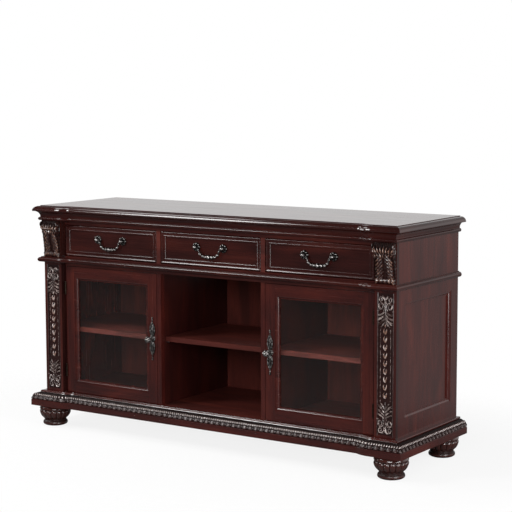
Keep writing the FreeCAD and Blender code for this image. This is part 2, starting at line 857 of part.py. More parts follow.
def case_hinges():
    """Leaves on the left face stile with the outer rounds, and the pins."""
    solids = []
    for z in hinge_heights():
        low, middle, high = hinge_rounds(z)
        solids.append(hinge_leaf(-stile_in, 1, z, z + hinge_length, (low, high), hinge_pin_radius))
        solids.append(rod(point(-hinge_axis_x, hinge_axis_y, z), Z, hinge_pin_radius, hinge_length))
    return solids


def door_fittings():
    """Leaves on the left door with the middle round, and the strike plate for the catch."""
    solids = []
    bore = hinge_pin_radius + hinge_pin_clearance
    for z in hinge_heights():
        low, middle, high = hinge_rounds(z)
        solids.append(hinge_leaf(-door_hinge_x, -1, z, z + hinge_length, (middle,), bore))
    z0 = door_high - catch_inset - catch_height
    x1 = -door_free_x - reveal
    y1 = frame_back_y + strike_thickness
    solids.append(board(x1 - catch_width, x1, frame_back_y, y1, z0, z0 + catch_height))
    return group(solids)


def door_catch():
    """Magnetic catch on the left partition, just behind the strike."""
    z0 = door_high - catch_inset - catch_height
    y0 = frame_back_y + strike_thickness + catch_gap
    return board(-part_out - catch_width, -part_out, y0, y0 + catch_depth, z0, z0 + catch_height)


def build_parts():
    """Every piece by name."""
    plinth_front, plinth_left, plinth_right = plinth_lengths()
    parts = {
        "top_board": top_board(),
        "cornice_moulding": cornice_moulding(),
        "waist_moulding": waist_moulding(),
        "plinth_front": plinth_front,
        "plinth_left": plinth_left,
        "plinth_right": plinth_right,
        "frieze_rails": frieze_rails(),
        "drawer_rail": board(-stile_in, stile_in, front_y, frame_back_y, rail_bottom, rail_top),
        "plinth_back_rail": plinth_back_rail(),
        "bottom_board": board(-case_half, case_half, front_y, inner_back_y, floor_z, plinth_top),
        "deck_board": board(-side_in, side_in, frame_back_y, inner_back_y, deck_bottom, rail_top),
        "drawer_partitions": drawer_partitions(),
        "back_panel": back_panel(),
        "back_screws": back_screws(),
        "shelf_left": shelf(-side_in, -part_out),
        "shelf_centre": shelf(-part_in, part_in),
        "shelf_right": shelf(part_out, side_in),
        "shelf_pins": shelf_pins(),
        "corner_blocks": corner_blocks(),
        "foot_bolts": group([foot_bolt(centre) for centre in foot_centres().values()]),
        "drawer_runners": drawer_runners(),
    }
    bay_stile = board(-part_out, -part_in, front_y, frame_back_y, plinth_top, rail_bottom)
    parts["bay_stiles"] = group([bay_stile, other_side(bay_stile)])
    catch = door_catch()
    parts["door_catches"] = group([catch, other_side(catch)])
    leaves = case_hinges()
    parts["case_hinge_leaves"] = group(leaves + [other_side(leaf) for leaf in leaves])
    for name, centre in foot_centres().items():
        parts["foot_" + name] = bun_foot(centre)
    pairs = {
        "face_stile": board(-side_in, -stile_in, front_y, frame_back_y, plinth_top, case_top),
        "bay_partition": partition_boards(),
        "side_frame": side_frame(),
        "side_panel": side_panel(),
        "pilaster": pilaster(),
        "corbel": corbel(),
        "door_frame": door_frame(),
        "door_glass": door_glass(),
        "door_pull": door_pull(),
        "door_fittings": door_fittings(),
    }
    for name, shape in pairs.items():
        parts[name + "_left"] = shape
        parts[name + "_right"] = other_side(shape)
    for name, (x0, x1) in drawer_bays.items():
        parts["drawer_front_" + name] = drawer_front(x0, x1)
        parts["drawer_box_" + name] = drawer_box(x0, x1)
        parts["drawer_pull_mounts_" + name] = pull_mounts((x0 + x1) / 2)
        parts["drawer_bail_" + name] = bail((x0 + x1) / 2)
    return parts


os.makedirs("parts", exist_ok=True)
for part_name, part_shape in build_parts().items():
    part_shape.exportStep("parts/" + part_name + ".step")
    print(part_name, len(part_shape.Solids), round(part_shape.Volume), part_shape.isValid())
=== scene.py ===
# %% [markdown]
# # A breakfront TV stand in dark cherry
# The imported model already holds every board, hinge and runner at its true place and size. This lesson
# adds what a carver, a founder and a finisher would add: leaf carving, cast pulls, stain, lacquer and
# light. Everything is in metres in the model's own frame: +X is the stand's right, -Y its front, +Z up.

import json
import math

import bpy
import numpy as np
from mathutils import Euler, Matrix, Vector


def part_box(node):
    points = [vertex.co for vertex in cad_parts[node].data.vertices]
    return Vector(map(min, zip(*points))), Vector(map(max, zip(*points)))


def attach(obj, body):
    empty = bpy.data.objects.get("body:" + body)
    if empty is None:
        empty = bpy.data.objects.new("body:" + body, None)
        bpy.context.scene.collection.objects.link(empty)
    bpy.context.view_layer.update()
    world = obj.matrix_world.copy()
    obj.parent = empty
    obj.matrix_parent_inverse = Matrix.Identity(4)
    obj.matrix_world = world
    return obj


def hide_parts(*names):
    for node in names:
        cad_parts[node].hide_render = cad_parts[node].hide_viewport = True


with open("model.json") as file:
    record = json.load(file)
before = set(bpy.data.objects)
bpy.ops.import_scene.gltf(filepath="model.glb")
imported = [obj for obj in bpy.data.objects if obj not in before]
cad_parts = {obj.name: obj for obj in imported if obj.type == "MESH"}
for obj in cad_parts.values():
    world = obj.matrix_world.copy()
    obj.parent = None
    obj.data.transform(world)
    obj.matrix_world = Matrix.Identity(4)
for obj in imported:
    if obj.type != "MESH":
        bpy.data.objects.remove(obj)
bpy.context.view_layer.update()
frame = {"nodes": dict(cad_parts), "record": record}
MM = 0.001

# %% [markdown]
# ## Surfaces from rings
# A carved or cast piece could be sculpted, or cut from a block with many modifiers. Here each one is
# worked out as a stack of rings: a closed outline that changes as it is carried along a path. Whole
# arrays hold the points, so one formula shapes all of them at once, and joining neighbouring rings gives
# a closed skin.

# %% Rings to skins
def ring_quads(rows, columns):
    """Quads between neighbouring rings: corner (i, j), next round the ring, next ring, back again."""
    i = np.arange(rows - 1)[:, None] * columns
    j = np.arange(columns)[None, :]
    k = (j + 1) % columns
    return np.stack([i + j, i + k, i + columns + k, i + columns + j], axis=-1).reshape(-1, 4)


def skin(rings):
    """Points and faces of one closed skin: quads between the rings, and one flat face at each end.

    The volume under the quads, a sum of triple products about the middle, says which way the skin faces.
    """
    rows, columns = rings.shape[:2]
    points = rings.reshape(-1, 3)
    quads = ring_quads(rows, columns)
    first = np.arange(columns)[::-1]
    last = np.arange(columns) + (rows - 1) * columns
    a, b, c, d = (points[quads[:, n]] - points.mean(axis=0) for n in range(4))
    volume = np.sum(a * np.cross(b, c)) + np.sum(a * np.cross(c, d))
    way = 1 if volume > 0 else -1
    return points, quads[:, ::way], [first[::way], last[::way]]


# %% Skins to pieces
SMOOTH_CREASE, CARVED_CREASE, BEAD_CREASE = 50.0, 40.0, 30.0


def closed_mesh(name, shells, crease):
    """One mesh from several closed skins; each shell is (rings, relief), relief running from 0 to 1.

    Edges that turn by more than 'crease' degrees stay sharp.
    """
    points, corners, sizes, relief = [], [], [], []
    start = 0
    for rings, height in shells:
        skin_points, quads, caps = skin(rings)
        points.append(skin_points)
        relief.append(np.broadcast_to(height, rings.shape[:2]).ravel())
        corners += [quads.ravel() + start] + [cap + start for cap in caps]
        sizes += [np.full(len(quads), 4)] + [np.array([len(cap)]) for cap in caps]
        start += len(skin_points)
    points, corners, sizes, relief = (np.concatenate(rows) for rows in (points, corners, sizes, relief))
    mesh = bpy.data.meshes.new(name)
    mesh.vertices.add(len(points))
    mesh.vertices.foreach_set("co", points.astype(np.float32).ravel())
    mesh.loops.add(len(corners))
    mesh.loops.foreach_set("vertex_index", corners.astype(np.int32))
    mesh.polygons.add(len(sizes))
    mesh.polygons.foreach_set("loop_start", (np.cumsum(sizes) - sizes).astype(np.int32))
    mesh.update(calc_edges=True)
    mesh.validate()
    mesh.shade_smooth()
    mesh.set_sharp_from_angle(angle=math.radians(crease))
    # The relief, kept on each point, places painted shade and highlights on carved wood, patina on metal
    carved = mesh.attributes.new("relief", "FLOAT", "POINT")
    carved.data.foreach_set("value", np.clip(relief, 0, 1).astype(np.float32))
    return mesh


def add_object(name, data):
    """A new object in the scene, at the origin."""
    made = bpy.data.objects.new(name, data)
    bpy.context.scene.collection.objects.link(made)
    return made


def make_piece(name, shells, finish, body="cabinet", crease=CARVED_CREASE):
    """One piece made of closed shells, in one finish, that rides on a body of the model."""
    mesh = closed_mesh(name, shells, crease)
    mesh.materials.append(finish)
    made = add_object(name, mesh)
    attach(made, body)
    print(name, len(mesh.vertices), "points,", len(mesh.polygons), "faces")
    return made


def node_box(node):
    """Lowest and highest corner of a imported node, and the point midway between them, as arrays."""
    low, high = (np.array(corner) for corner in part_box(node))
    return low, high, (low + high) / 2


# %% [markdown]
# ## Finishes
# Each finish is a small network of shader nodes. Wood could be a photograph wrapped round the boards;
# here it is layers of noise, stretched along the grain, so it goes right through a board and needs no
# unwrapping.

# %% Node helpers
def new_finish(name):
    """An empty node material, with its tree."""
    finish = bpy.data.materials.new(name)
    finish.use_nodes = True
    finish.node_tree.nodes.clear()
    return finish, finish.node_tree


def add(tree, kind, inputs=None, **settings):
    """One shader node: settings are its menus, and inputs are values or sockets by name or number."""
    made = tree.nodes.new("ShaderNode" + kind)
    for key, value in settings.items():
        setattr(made, key, value)
    for key, value in (inputs or {}).items():
        if isinstance(value, bpy.types.NodeSocket):
            tree.links.new(value, made.inputs[key])
        else:
            made.inputs[key].default_value = value
    return made


def calc(tree, operation, a, b=0.0):
    """One arithmetic node."""
    return add(tree, "Math", {0: a, 1: b}, operation=operation).outputs[0]


def remap(tree, value, before, after, **settings):
    """A value carried from one range to another, and held at the ends of the second."""
    inputs = dict(enumerate((value, *before, *after)))
    return add(tree, "MapRange", inputs, **settings).outputs[0]


def blend(tree, factor, a, b):
    """Two numbers mixed by a factor."""
    return add(tree, "Mix", {0: factor, 2: a, 3: b}, data_type="FLOAT").outputs[0]


def colour_mix(tree, factor, a, b, blend_type="MIX"):
    """Two colours mixed by a factor."""
    return add(tree, "Mix", {0: factor, 6: a, 7: b}, data_type="RGBA", blend_type=blend_type).outputs[2]


def shader_mix(tree, factor, a, b):
    """Two surfaces mixed by a factor."""
    return add(tree, "MixShader", {0: factor, 1: a.outputs[0], 2: b.outputs[0]})


def ramp(tree, value, stops):
    """A colour ramp through (place, colour) stops."""
    made = add(tree, "ValToRGB", {0: value})
    band = made.color_ramp.elements
    band[0].position, band[1].position = stops[0][0], stops[-1][0]
    for place, colour in stops[1:-1]:
        band.new(place)
    for element, (place, colour) in zip(band, stops):
        element.color = (*colour, 1.0)
    return made.outputs["Color"]


def grey(value):
    """A grey of one level."""
    return (value, value, value)


# %% Patterns and surfaces
def object_place(tree):
    """The place of a point on its object, in metres."""
    return add(tree, "TexCoord").outputs["Object"]


def split(tree, vector):
    """The x, y and z of a vector."""
    return add(tree, "SeparateXYZ", {0: vector}).outputs


def facing(tree):
    """The x, y and z of the direction that a face looks in."""
    return split(tree, add(tree, "NewGeometry").outputs["Normal"])


def carved_height(tree):
    """The relief of a carved or cast skin: painted shade and highlights on wood, patina on metal."""
    return add(tree, "Attribute", attribute_name="relief").outputs["Fac"]


def noise(tree, vector, scale, detail=3.0, rough=0.55, distortion=0.0):
    """Fractal noise, about 0.5 on average."""
    return add(tree, "TexNoise", {"Vector": vector, "Scale": scale, "Detail": detail, "Roughness": rough,
                                  "Distortion": distortion}).outputs[0]


def uneven(tree, height, strength, depth):
    """The direction of a surface that a pattern makes slightly uneven."""
    return add(tree, "Bump", {"Strength": strength, "Distance": depth, "Height": height}).outputs[0]


def show(tree, surface):
    """Joins a surface to the output."""
    add(tree, "OutputMaterial", {"Surface": surface.outputs[0]})


# %% [markdown]
# ### Stained cherry
# The stand is stained a deep red and lacquered to a soft shine. Cherry shows broad clouds of lighter and
# darker red, long streaks with the grain, and short dark pores. Three stretched noises give those three
# scales. Frames have stiles and rails whose grain runs across each other, so the grain's direction can
# switch where a mask says so. Some parts take the colours lighter or darker, as painted light and shade:
# the top lighter; the pilasters, drawers, mouldings, bay partitions and posts darker.

# %% Cherry
CHERRY = ((0.030, 0.0054, 0.0046), (0.050, 0.0080, 0.0062), (0.084, 0.0135, 0.0085))
# Dark brown for painted shade: in carved hollows, on the top's moulded edge and in the pilasters' sunk
# panels
PAINTED_SHADE_BROWN = (0.008, 0.0034, 0.0030)
AXES = {"x": 0, "y": 1, "z": 2}
STREAK_SHARE, PORE_SHARE, SHADE_SHARE = 0.28, 0.7, 0.65
LACQUER_ROUGH, GRAIN_BUMP, GRAIN_DEPTH = 0.09, 0.05, 0.5 * MM
NOISE_SPAN, GRAIN_ROUGH = (0.3, 0.7), (-0.03, 0.05)
FIGURE_STOPS = (0.34, 0.5, 0.68)
PORES = ((0.30, grey(0.55)), (0.44, grey(1.0)))

# Each figure: its size across and along the grain, then its noise's detail, roughness and distortion
CLOUD = ((70 * MM, 340 * MM), (3.0, 0.55, 0.5))
STREAK = ((11 * MM, 320 * MM), (4.0, 0.6))
FIBRE = ((1.6 * MM, 50 * MM), (2.0, 0.5))


def grain_vector(tree, size, axis, other=None, mask=None):
    """Place over a figure's size, long with the grain, which turns to another axis where the mask is 1."""
    across, along = size
    place = object_place(tree)

    def stretched(way):
        scale = [1 / across] * 3
        scale[AXES[way]] = 1 / along
        return add(tree, "Mapping", {"Vector": place, "Scale": scale}).outputs[0]
    if other is None:
        return stretched(axis)
    inputs = {0: mask, 4: stretched(axis), 5: stretched(other)}
    return add(tree, "Mix", inputs, data_type="VECTOR").outputs[1]


def wood(name, axis, colours, gloss, other=None, mask=None, painted_shade=None, shine=0.4, coat=0.35):
    """Lacquered wood: clouds, streaks and pores along an axis, in three colours from dark to light.

    'mask' says where the grain turns to the other axis; a second mask says where painted shade darkens it.
    """
    finish, tree = new_finish(name)
    where = mask(tree) if mask else None
    cloud, streak, fibre = (noise(tree, grain_vector(tree, size, axis, other, where), 1.0, *kind)
                            for size, kind in (CLOUD, STREAK, FIBRE))
    figure = blend(tree, STREAK_SHARE, cloud, streak)
    colour = ramp(tree, figure, list(zip(FIGURE_STOPS, colours)))
    colour = colour_mix(tree, PORE_SHARE, colour, ramp(tree, fibre, PORES), "MULTIPLY")
    # Painted shade: the colour darkened towards dark brown where the second mask says
    if painted_shade:
        colour = colour_mix(tree, calc(tree, "MULTIPLY", painted_shade(tree), SHADE_SHARE), colour, (*PAINTED_SHADE_BROWN, 1))
    roughness = remap(tree, streak, NOISE_SPAN, [gloss + change for change in GRAIN_ROUGH])
    normal = uneven(tree, fibre, GRAIN_BUMP, GRAIN_DEPTH)
    show(tree, add(tree, "BsdfPrincipled", {
        "Base Color": colour, "Roughness": roughness, "Normal": normal, "Specular IOR Level": shine,
        "Coat Weight": coat, "Coat Roughness": LACQUER_ROUGH}))
    return finish


# %% Where the grain turns and painted shade goes
SIDEWAYS, LEVEL = 0.72, 0.98
DOOR_STILE = 40 * MM
PILASTER_EDGE, PILASTER_FACE = 10.5 * MM, 1 * MM


def looks_sideways(tree):
    """1 on faces that look along X: there a moulding runs front to back."""
    return calc(tree, "GREATER_THAN", calc(tree, "ABSOLUTE", facing(tree)[0]), SIDEWAYS)


def off_the_flat(tree):
    """1 on the top's moulded edge, wherever a face doesn't look straight up: painted dark reflection."""
    return calc(tree, "LESS_THAN", facing(tree)[2], LEVEL)


def on_rails(node):
    """1 on the rails of a door frame: between its two stiles, which run the whole height."""
    low, high = node_box(node)[:2]

    def mask(tree):
        x = split(tree, object_place(tree))[0]
        after = calc(tree, "GREATER_THAN", x, low[0] + DOOR_STILE)
        before = calc(tree, "LESS_THAN", x, high[0] - DOOR_STILE)
        return calc(tree, "MULTIPLY", after, before)
    return mask


def in_sunk_field(tree):
    """1 on a pilaster's flanks and sunk panel, behind its face, away from its two edges: painted shade."""
    low, high, middle = node_box("pilaster_right")
    x, y = split(tree, object_place(tree))[:2]
    sunk = calc(tree, "GREATER_THAN", y, low[1] + PILASTER_FACE)
    off = calc(tree, "SUBTRACT", calc(tree, "ABSOLUTE", x), middle[0])
    within = calc(tree, "LESS_THAN", calc(tree, "ABSOLUTE", off), (high[0] - low[0]) / 2 - PILASTER_EDGE)
    return calc(tree, "MAXIMUM", calc(tree, "MULTIPLY", sunk, within), looks_sideways(tree))


# %% Cherry finishes
CHERRY_GLOSS, TOP_GLOSS = 0.24, 0.15
# Levels of the lit and shaded copies: painted light on the top, painted shade on the other parts
TOP_PAINTED_LIGHT, PILASTER_PAINTED_SHADE, DRAWER_PAINTED_SHADE, MOULDING_PAINTED_SHADE, POST_PAINTED_SHADE = 1.25, 0.90, 0.66, 0.60, 0.42


def lit_or_shaded(level):
    """The three cherry colours, each made lighter or darker by one factor: painted light or shade."""
    return [tuple(level * part for part in colour) for colour in CHERRY]


cherry_across = wood("cherry_across", "x", CHERRY, CHERRY_GLOSS)
cherry_deep = wood("cherry_deep", "y", CHERRY, CHERRY_GLOSS)
cherry_upright = wood("cherry_upright", "z", CHERRY, CHERRY_GLOSS)
cherry_drawer = wood("cherry_drawer", "x", lit_or_shaded(DRAWER_PAINTED_SHADE), CHERRY_GLOSS, shine=0.33, coat=0.3)
cherry_post = wood("cherry_post", "z", lit_or_shaded(POST_PAINTED_SHADE), CHERRY_GLOSS)
cherry_top = wood("cherry_top", "x", lit_or_shaded(TOP_PAINTED_LIGHT), TOP_GLOSS, "y", looks_sideways, off_the_flat)
cherry_moulding = wood("cherry_moulding", "x", lit_or_shaded(MOULDING_PAINTED_SHADE), CHERRY_GLOSS, "y", looks_sideways,
                       shine=0.25, coat=0.22)
cherry_pilaster = wood("cherry_pilaster", "z", lit_or_shaded(PILASTER_PAINTED_SHADE), CHERRY_GLOSS, painted_shade=in_sunk_field)
cherry_door = {}
for side in ("left", "right"):
    rails = on_rails("door_frame_" + side)
    cherry_door[side] = wood("cherry_door_" + side, "z", CHERRY, CHERRY_GLOSS, "x", rails)
print("cherry finishes ready")

# %% [markdown]
# ### Carved cherry
# Carved cherry is painted dark brown in its hollows, as painted shade, and pale or bronze on its highest
# crests, as painted highlights, partly for real rubbed accents; the lacquer adds real sparkle.
# Every carved skin here carries a value called relief, 0 in the hollows and 1 on the crests, and the shader
# reads it as a map of painted shade and highlight.

# %% Carved finishes
CARVED, TURNED = (0.030, 0.0080, 0.0062), (0.045, 0.010, 0.007)
# Crest colours, painted highlights: bronze partly for real rubbed accents, pale and near white for glints
BRONZE_HIGHLIGHT = (0.34, 0.19, 0.135)
PALE_HIGHLIGHT = (0.62, 0.53, 0.50)
WHITE_HIGHLIGHT = (0.85, 0.72, 0.67)
PATCH_SCALE, GRIT_SCALE, GRIT_BUMP, GRIT_DEPTH = 110.0, 700.0, 0.06, 0.4 * MM
SHADE_END, BODY_START = 0.10, 0.45
POLISHED, LACQUERED = (0.2, 0.7), (0.1, 0.6)
HOLLOW_ROUGH, CREST_ROUGH, HOLLOW_SHINE, CREST_SHINE = 0.50, 0.16, 0.15, 0.75
CARVED_LACQUER_ROUGH = 0.07


def carved_wood(name, body, highlight, highlight_start, highlight_end, coat=0.6, patchy=0.4):
    """Cherry with painted shade in hollows and painted highlights on crests, by the relief, patchily."""
    finish, tree = new_finish(name)
    place = object_place(tree)
    patch = calc(tree, "SUBTRACT", noise(tree, place, PATCH_SCALE), 0.5)
    height = calc(tree, "ADD", carved_height(tree), calc(tree, "MULTIPLY", patch, patchy))
    # Painted shade: dark brown in the hollows; painted highlights: the crest colour on the highest relief
    colour = ramp(tree, height, [(SHADE_END, PAINTED_SHADE_BROWN), (BODY_START, body), (highlight_start, body),
                                 (highlight_end, highlight), (1.0, np.maximum(highlight, PALE_HIGHLIGHT))])
    roughness = remap(tree, height, POLISHED, (HOLLOW_ROUGH, CREST_ROUGH))
    shine = remap(tree, height, LACQUERED, (HOLLOW_SHINE, CREST_SHINE))
    lacquer = remap(tree, height, LACQUERED, (0.0, coat))
    normal = uneven(tree, noise(tree, place, GRIT_SCALE, 2.0), GRIT_BUMP, GRIT_DEPTH)
    show(tree, add(tree, "BsdfPrincipled", {
        "Base Color": colour, "Roughness": roughness, "Normal": normal, "Specular IOR Level": shine,
        "Coat Weight": lacquer, "Coat Roughness": CARVED_LACQUER_ROUGH}))
    return finish


carved_cherry = carved_wood("carved_cherry", CARVED, BRONZE_HIGHLIGHT, 0.70, 0.97, patchy=0.9)
pilaster_cherry = carved_wood("pilaster_cherry", CARVED, WHITE_HIGHLIGHT, 0.82, 0.98, coat=0.7, patchy=0.9)
plinth_cherry = carved_wood("plinth_cherry", CARVED, PALE_HIGHLIGHT, 0.78, 0.97)
turned_cherry = carved_wood("turned_cherry", TURNED, CARVED, 0.95, 0.99)
print("carved finishes ready")

# %% [markdown]
# ### Inside woods, metal, glass and plastic
# The inside boards take the stain lighter and duller, as painted light in the shaded bays, and the bay
# partitions a darker copy, as painted shade. The drawer boxes are plain pale hardwood. The pulls are cast
# metal, blackened and rubbed; hinges, pins and bolts get plainer metals. Glass must bend
# light yet let lamps through, so a Transparent shader stands in for it wherever a shadow ray asks.

# %% Inside woods
# Inside boards lighter than the cherry outside: painted light in the shaded bays
INNER_PAINTED_LIGHT = ((0.052, 0.0130, 0.0105), (0.084, 0.0180, 0.0138), (0.125, 0.0260, 0.0180))
PALE = ((0.26, 0.145, 0.070), (0.36, 0.215, 0.110), (0.45, 0.285, 0.155))
INNER_GLOSS, PALE_GLOSS = 0.42, 0.45
DULL = {"shine": 0.2, "coat": 0.0}

inner_across = wood("inner_across", "x", INNER_PAINTED_LIGHT, INNER_GLOSS, **DULL)
inner_upright = wood("inner_upright", "z", INNER_PAINTED_LIGHT, INNER_GLOSS, **DULL)
# Bay partitions in a darker copy of the cherry: painted shade
inner_wall = wood("inner_wall", "z", lit_or_shaded(MOULDING_PAINTED_SHADE), INNER_GLOSS, **DULL)
drawer_pale = wood("drawer_pale", "y", PALE, PALE_GLOSS, shine=0.3, coat=0.0)
print("inside woods ready")

# %% Metals, glass and plastic
EVEN_WEAR, WEAR_PATCH, TARNISH_SCALE, TARNISH_ROUGH = 0.5, 0.5, 160.0, (-0.06, 0.10)
TARNISH_END, BARE_START, CAST_BUMP, CAST_DEPTH = 0.40, 0.98, 0.10, 0.4 * MM
PANE, PANE_SHADOW = (0.93, 0.96, 0.95, 1), (0.92, 0.95, 0.94, 1)
GLASS_IOR = 1.45
CATCH_BROWN = (0.12, 0.06, 0.04, 1)
PLASTIC_CLOUD, PLASTIC_TINT = 120.0, ((0.35, grey(0.75)), (0.65, grey(1.1)))
PLASTIC_ROUGH, PLASTIC_GRAIN, PLASTIC_BUMP, PLASTIC_DEPTH = 0.5, 1500.0, 0.2, 0.3 * MM


def metal(name, low, high, roughness, worn=None):
    """Metal whose colour runs from tarnish to bare with the relief, or evenly where 'worn' is given."""
    finish, tree = new_finish(name)
    patch = noise(tree, object_place(tree), TARNISH_SCALE, 4.0)
    blotch = calc(tree, "MULTIPLY", calc(tree, "SUBTRACT", patch, 0.5), WEAR_PATCH)
    height = calc(tree, "ADD", worn or carved_height(tree), blotch)
    show(tree, add(tree, "BsdfPrincipled", {
        "Base Color": ramp(tree, height, [(TARNISH_END, low), (BARE_START, high)]), "Metallic": 1.0,
        "Roughness": remap(tree, patch, NOISE_SPAN, [roughness + change for change in TARNISH_ROUGH]),
        "Normal": uneven(tree, patch, CAST_BUMP, CAST_DEPTH)}))
    return finish


def clear_glass(name):
    """Polished glass that bends what is seen through it and lets lamp light straight through."""
    finish, tree = new_finish(name)
    pane = add(tree, "BsdfPrincipled", {"Base Color": PANE, "Transmission Weight": 1.0, "Roughness": 0.0,
                                        "IOR": GLASS_IOR})
    through = add(tree, "BsdfTransparent", {"Color": PANE_SHADOW})
    show(tree, shader_mix(tree, add(tree, "LightPath").outputs["Is Shadow Ray"], pane, through))
    return finish


def moulded_plastic(name, colour):
    """Moulded plastic with a fine grain."""
    finish, tree = new_finish(name)
    place = object_place(tree)
    tint = ramp(tree, noise(tree, place, PLASTIC_CLOUD), PLASTIC_TINT)
    grain = noise(tree, place, PLASTIC_GRAIN, 2.0)
    show(tree, add(tree, "BsdfPrincipled", {
        "Base Color": colour_mix(tree, 1.0, colour, tint, "MULTIPLY"), "Roughness": PLASTIC_ROUGH,
        "Normal": uneven(tree, grain, PLASTIC_BUMP, PLASTIC_DEPTH)}))
    return finish


antique_metal = metal("antique_metal", (0.012, 0.011, 0.011), (0.42, 0.40, 0.39), 0.26)
hinge_metal = metal("hinge_metal", (0.030, 0.022, 0.017), (0.085, 0.064, 0.046), 0.36, EVEN_WEAR)
steel = metal("steel", (0.34, 0.34, 0.35), (0.60, 0.60, 0.61), 0.30, EVEN_WEAR)
door_glass = clear_glass("door_glass")
catch_plastic = moulded_plastic("catch_plastic", CATCH_BROWN)
print("metals, glass and plastic ready")

# %% [markdown]
# ### Finishes onto the imported nodes
# Boards whose shape is right keep their imported meshes and only change material. A node's slot in the
# record gives the general finish, and the start of its name a more particular one, with another grain or
# a lighter or darker copy of the cherry as painted light or shade.

# %% Assign finishes
BY_SLOT = {"cherry": cherry_across, "inner_wood": inner_across, "drawer_wood": drawer_pale,
           "glass": door_glass, "antique_metal": hinge_metal, "hinge_metal": hinge_metal, "steel": steel,
           "catch_plastic": catch_plastic}
BY_NAME = {"face_stile": cherry_post, "drawer_front": cherry_drawer, "bay_stiles": cherry_upright,
           "pilaster": cherry_pilaster, "side_frame": cherry_upright, "side_panel": cherry_upright,
           "cornice_moulding": cherry_moulding, "waist_moulding": cherry_moulding, "top_board": cherry_top,
           "plinth_left": cherry_deep, "plinth_right": cherry_deep, "back_panel": inner_upright,
           "bay_partition": inner_wall, "door_frame_left": cherry_door["left"],
           "door_frame_right": cherry_door["right"]}
slots = {part["node"]: part["material_slot"] for part in frame["record"]["subparts"]}
for node, made in frame["nodes"].items():
    named = [finish for start, finish in BY_NAME.items() if node.startswith(start)]
    made.material_slots[0].material = named[0] if named else BY_SLOT[slots[node]]
print("finishes set on", len(slots), "nodes")

# %% [markdown]
# ## Bun feet
# Each foot is a turned bun whose bulb is gadrooned: cut into a ring of fat fingers that end in round tips
# under a smooth shoulder. A lathe profile gives the radius at each height, and the fingers press into it,
# so one grid of height against angle makes the whole foot.

# %% Curves and domes
def distance_along(points):
    """Distance from the first point to each one, by the straight steps between them."""
    return np.concatenate([[0], np.cumsum(np.linalg.norm(np.diff(points, axis=0), axis=1))])


def smooth_curve(knots, count):
    """A smooth curve through knots: cubic pieces whose slopes are taken from each knot's neighbours."""
    place = distance_along(knots)
    slope = np.gradient(knots, place, axis=0)
    t = np.linspace(0, place[-1], count)
    i = np.clip(np.searchsorted(place, t, side="right") - 1, 0, len(place) - 2)
    run = (place[i + 1] - place[i])[:, None]
    u = ((t - place[i])[:, None]) / run
    start = knots[i] * (1 + 2 * u) * (1 - u) ** 2 + run * slope[i] * u * (1 - u) ** 2
    end = knots[i + 1] * u ** 2 * (3 - 2 * u) + run * slope[i + 1] * u ** 2 * (u - 1)
    return start + end


def dome(square):
    """Half ellipsoid over the unit circle, from the squared distance to its middle."""
    return np.sqrt(np.clip(1 - square, 0, 1))


# %% Feet
FINGERS, FINGER_STEPS, FOOT_ROWS = 16, 12, 90
FINGER_DEPTH = 5.5 * MM
FINGER_LOW, FINGER_HIGH = 24 * MM, 62 * MM
FINGER_TAIL, FINGER_TIP, SHOULDER_RUN = 12 * MM, 14 * MM, 5 * MM
BULB_LOW, BULB_RUN = 21 * MM, 7 * MM
# Levels of painted shade on the feet: dark between the fingers and near the sole, lifted on fingers and ring
RING_MIDDLE, RING_HALF, RING_SHADE_LIFT = 9 * MM, 5 * MM, 0.5
SOLE_SHADE, SOLE_LEAST = 4 * MM, 0.3
HOLLOW_PAINTED_SHADE, FINGER_SHADE_LIFT = 0.2, 0.7

# Height and radius of the turning
FOOT_PROFILE = np.array([(0, 38), (0.6, 40), (2, 43), (5, 46.8), (8, 48), (12, 47.6), (16, 46), (18, 43.5),
                         (20, 42), (23, 44), (30, 49.5), (37, 54.8), (45, 59), (53, 61.2), (60, 61.5),
                         (66, 60.8), (71, 59), (75, 57), (79, 55)]) * MM


def bun_foot(under):
    """Lathe radius at each height, less the hollows between fingers, which are half ellipses."""
    profile = smooth_curve(FOOT_PROFILE, FOOT_ROWS)
    height, radius = profile[:, :1], profile[:, 1:]
    angle = np.linspace(0, 2 * np.pi, FINGERS * FINGER_STEPS, endpoint=False)[None, :]
    across = 2 * ((angle * FINGERS / (2 * np.pi)) % 1) - 1
    tip = np.clip((height - FINGER_HIGH) / FINGER_TIP + 1, 0, 1)
    end = tip + np.clip((FINGER_LOW - height) / FINGER_TAIL + 1, 0, 1)
    shoulder = np.clip((height - FINGER_HIGH) / SHOULDER_RUN, 0, 1)
    smooth = np.maximum(dome(across ** 2 + end ** 2), shoulder * (2 - shoulder))
    bulb = np.clip((height - BULB_LOW) / BULB_RUN, 0, 1)
    cut = radius - FINGER_DEPTH * bulb * (1 - smooth)
    rings = np.stack([under[0] + cut * np.cos(angle), under[1] + cut * np.sin(angle),
                      under[2] + height + 0 * angle], axis=-1)
    # Painted shade between the fingers and near the sole; fingers and ring lifted to the body colour
    ring_lift = RING_SHADE_LIFT * np.exp(-((height - RING_MIDDLE) / RING_HALF) ** 2)
    painted_shade_level = np.maximum(HOLLOW_PAINTED_SHADE + FINGER_SHADE_LIFT * smooth * bulb, ring_lift)
    return rings, painted_shade_level * np.clip(height / SOLE_SHADE, SOLE_LEAST, 1)


for corner in ("front_left", "front_right", "back_left", "back_right"):
    low, _, middle = node_box("foot_" + corner)
    shell = bun_foot(np.array([middle[0], middle[1], low[2]]))
    foot = make_piece("carved_foot_" + corner, [shell], turned_cherry, crease=SMOOTH_CREASE)
    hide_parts("foot_" + corner)

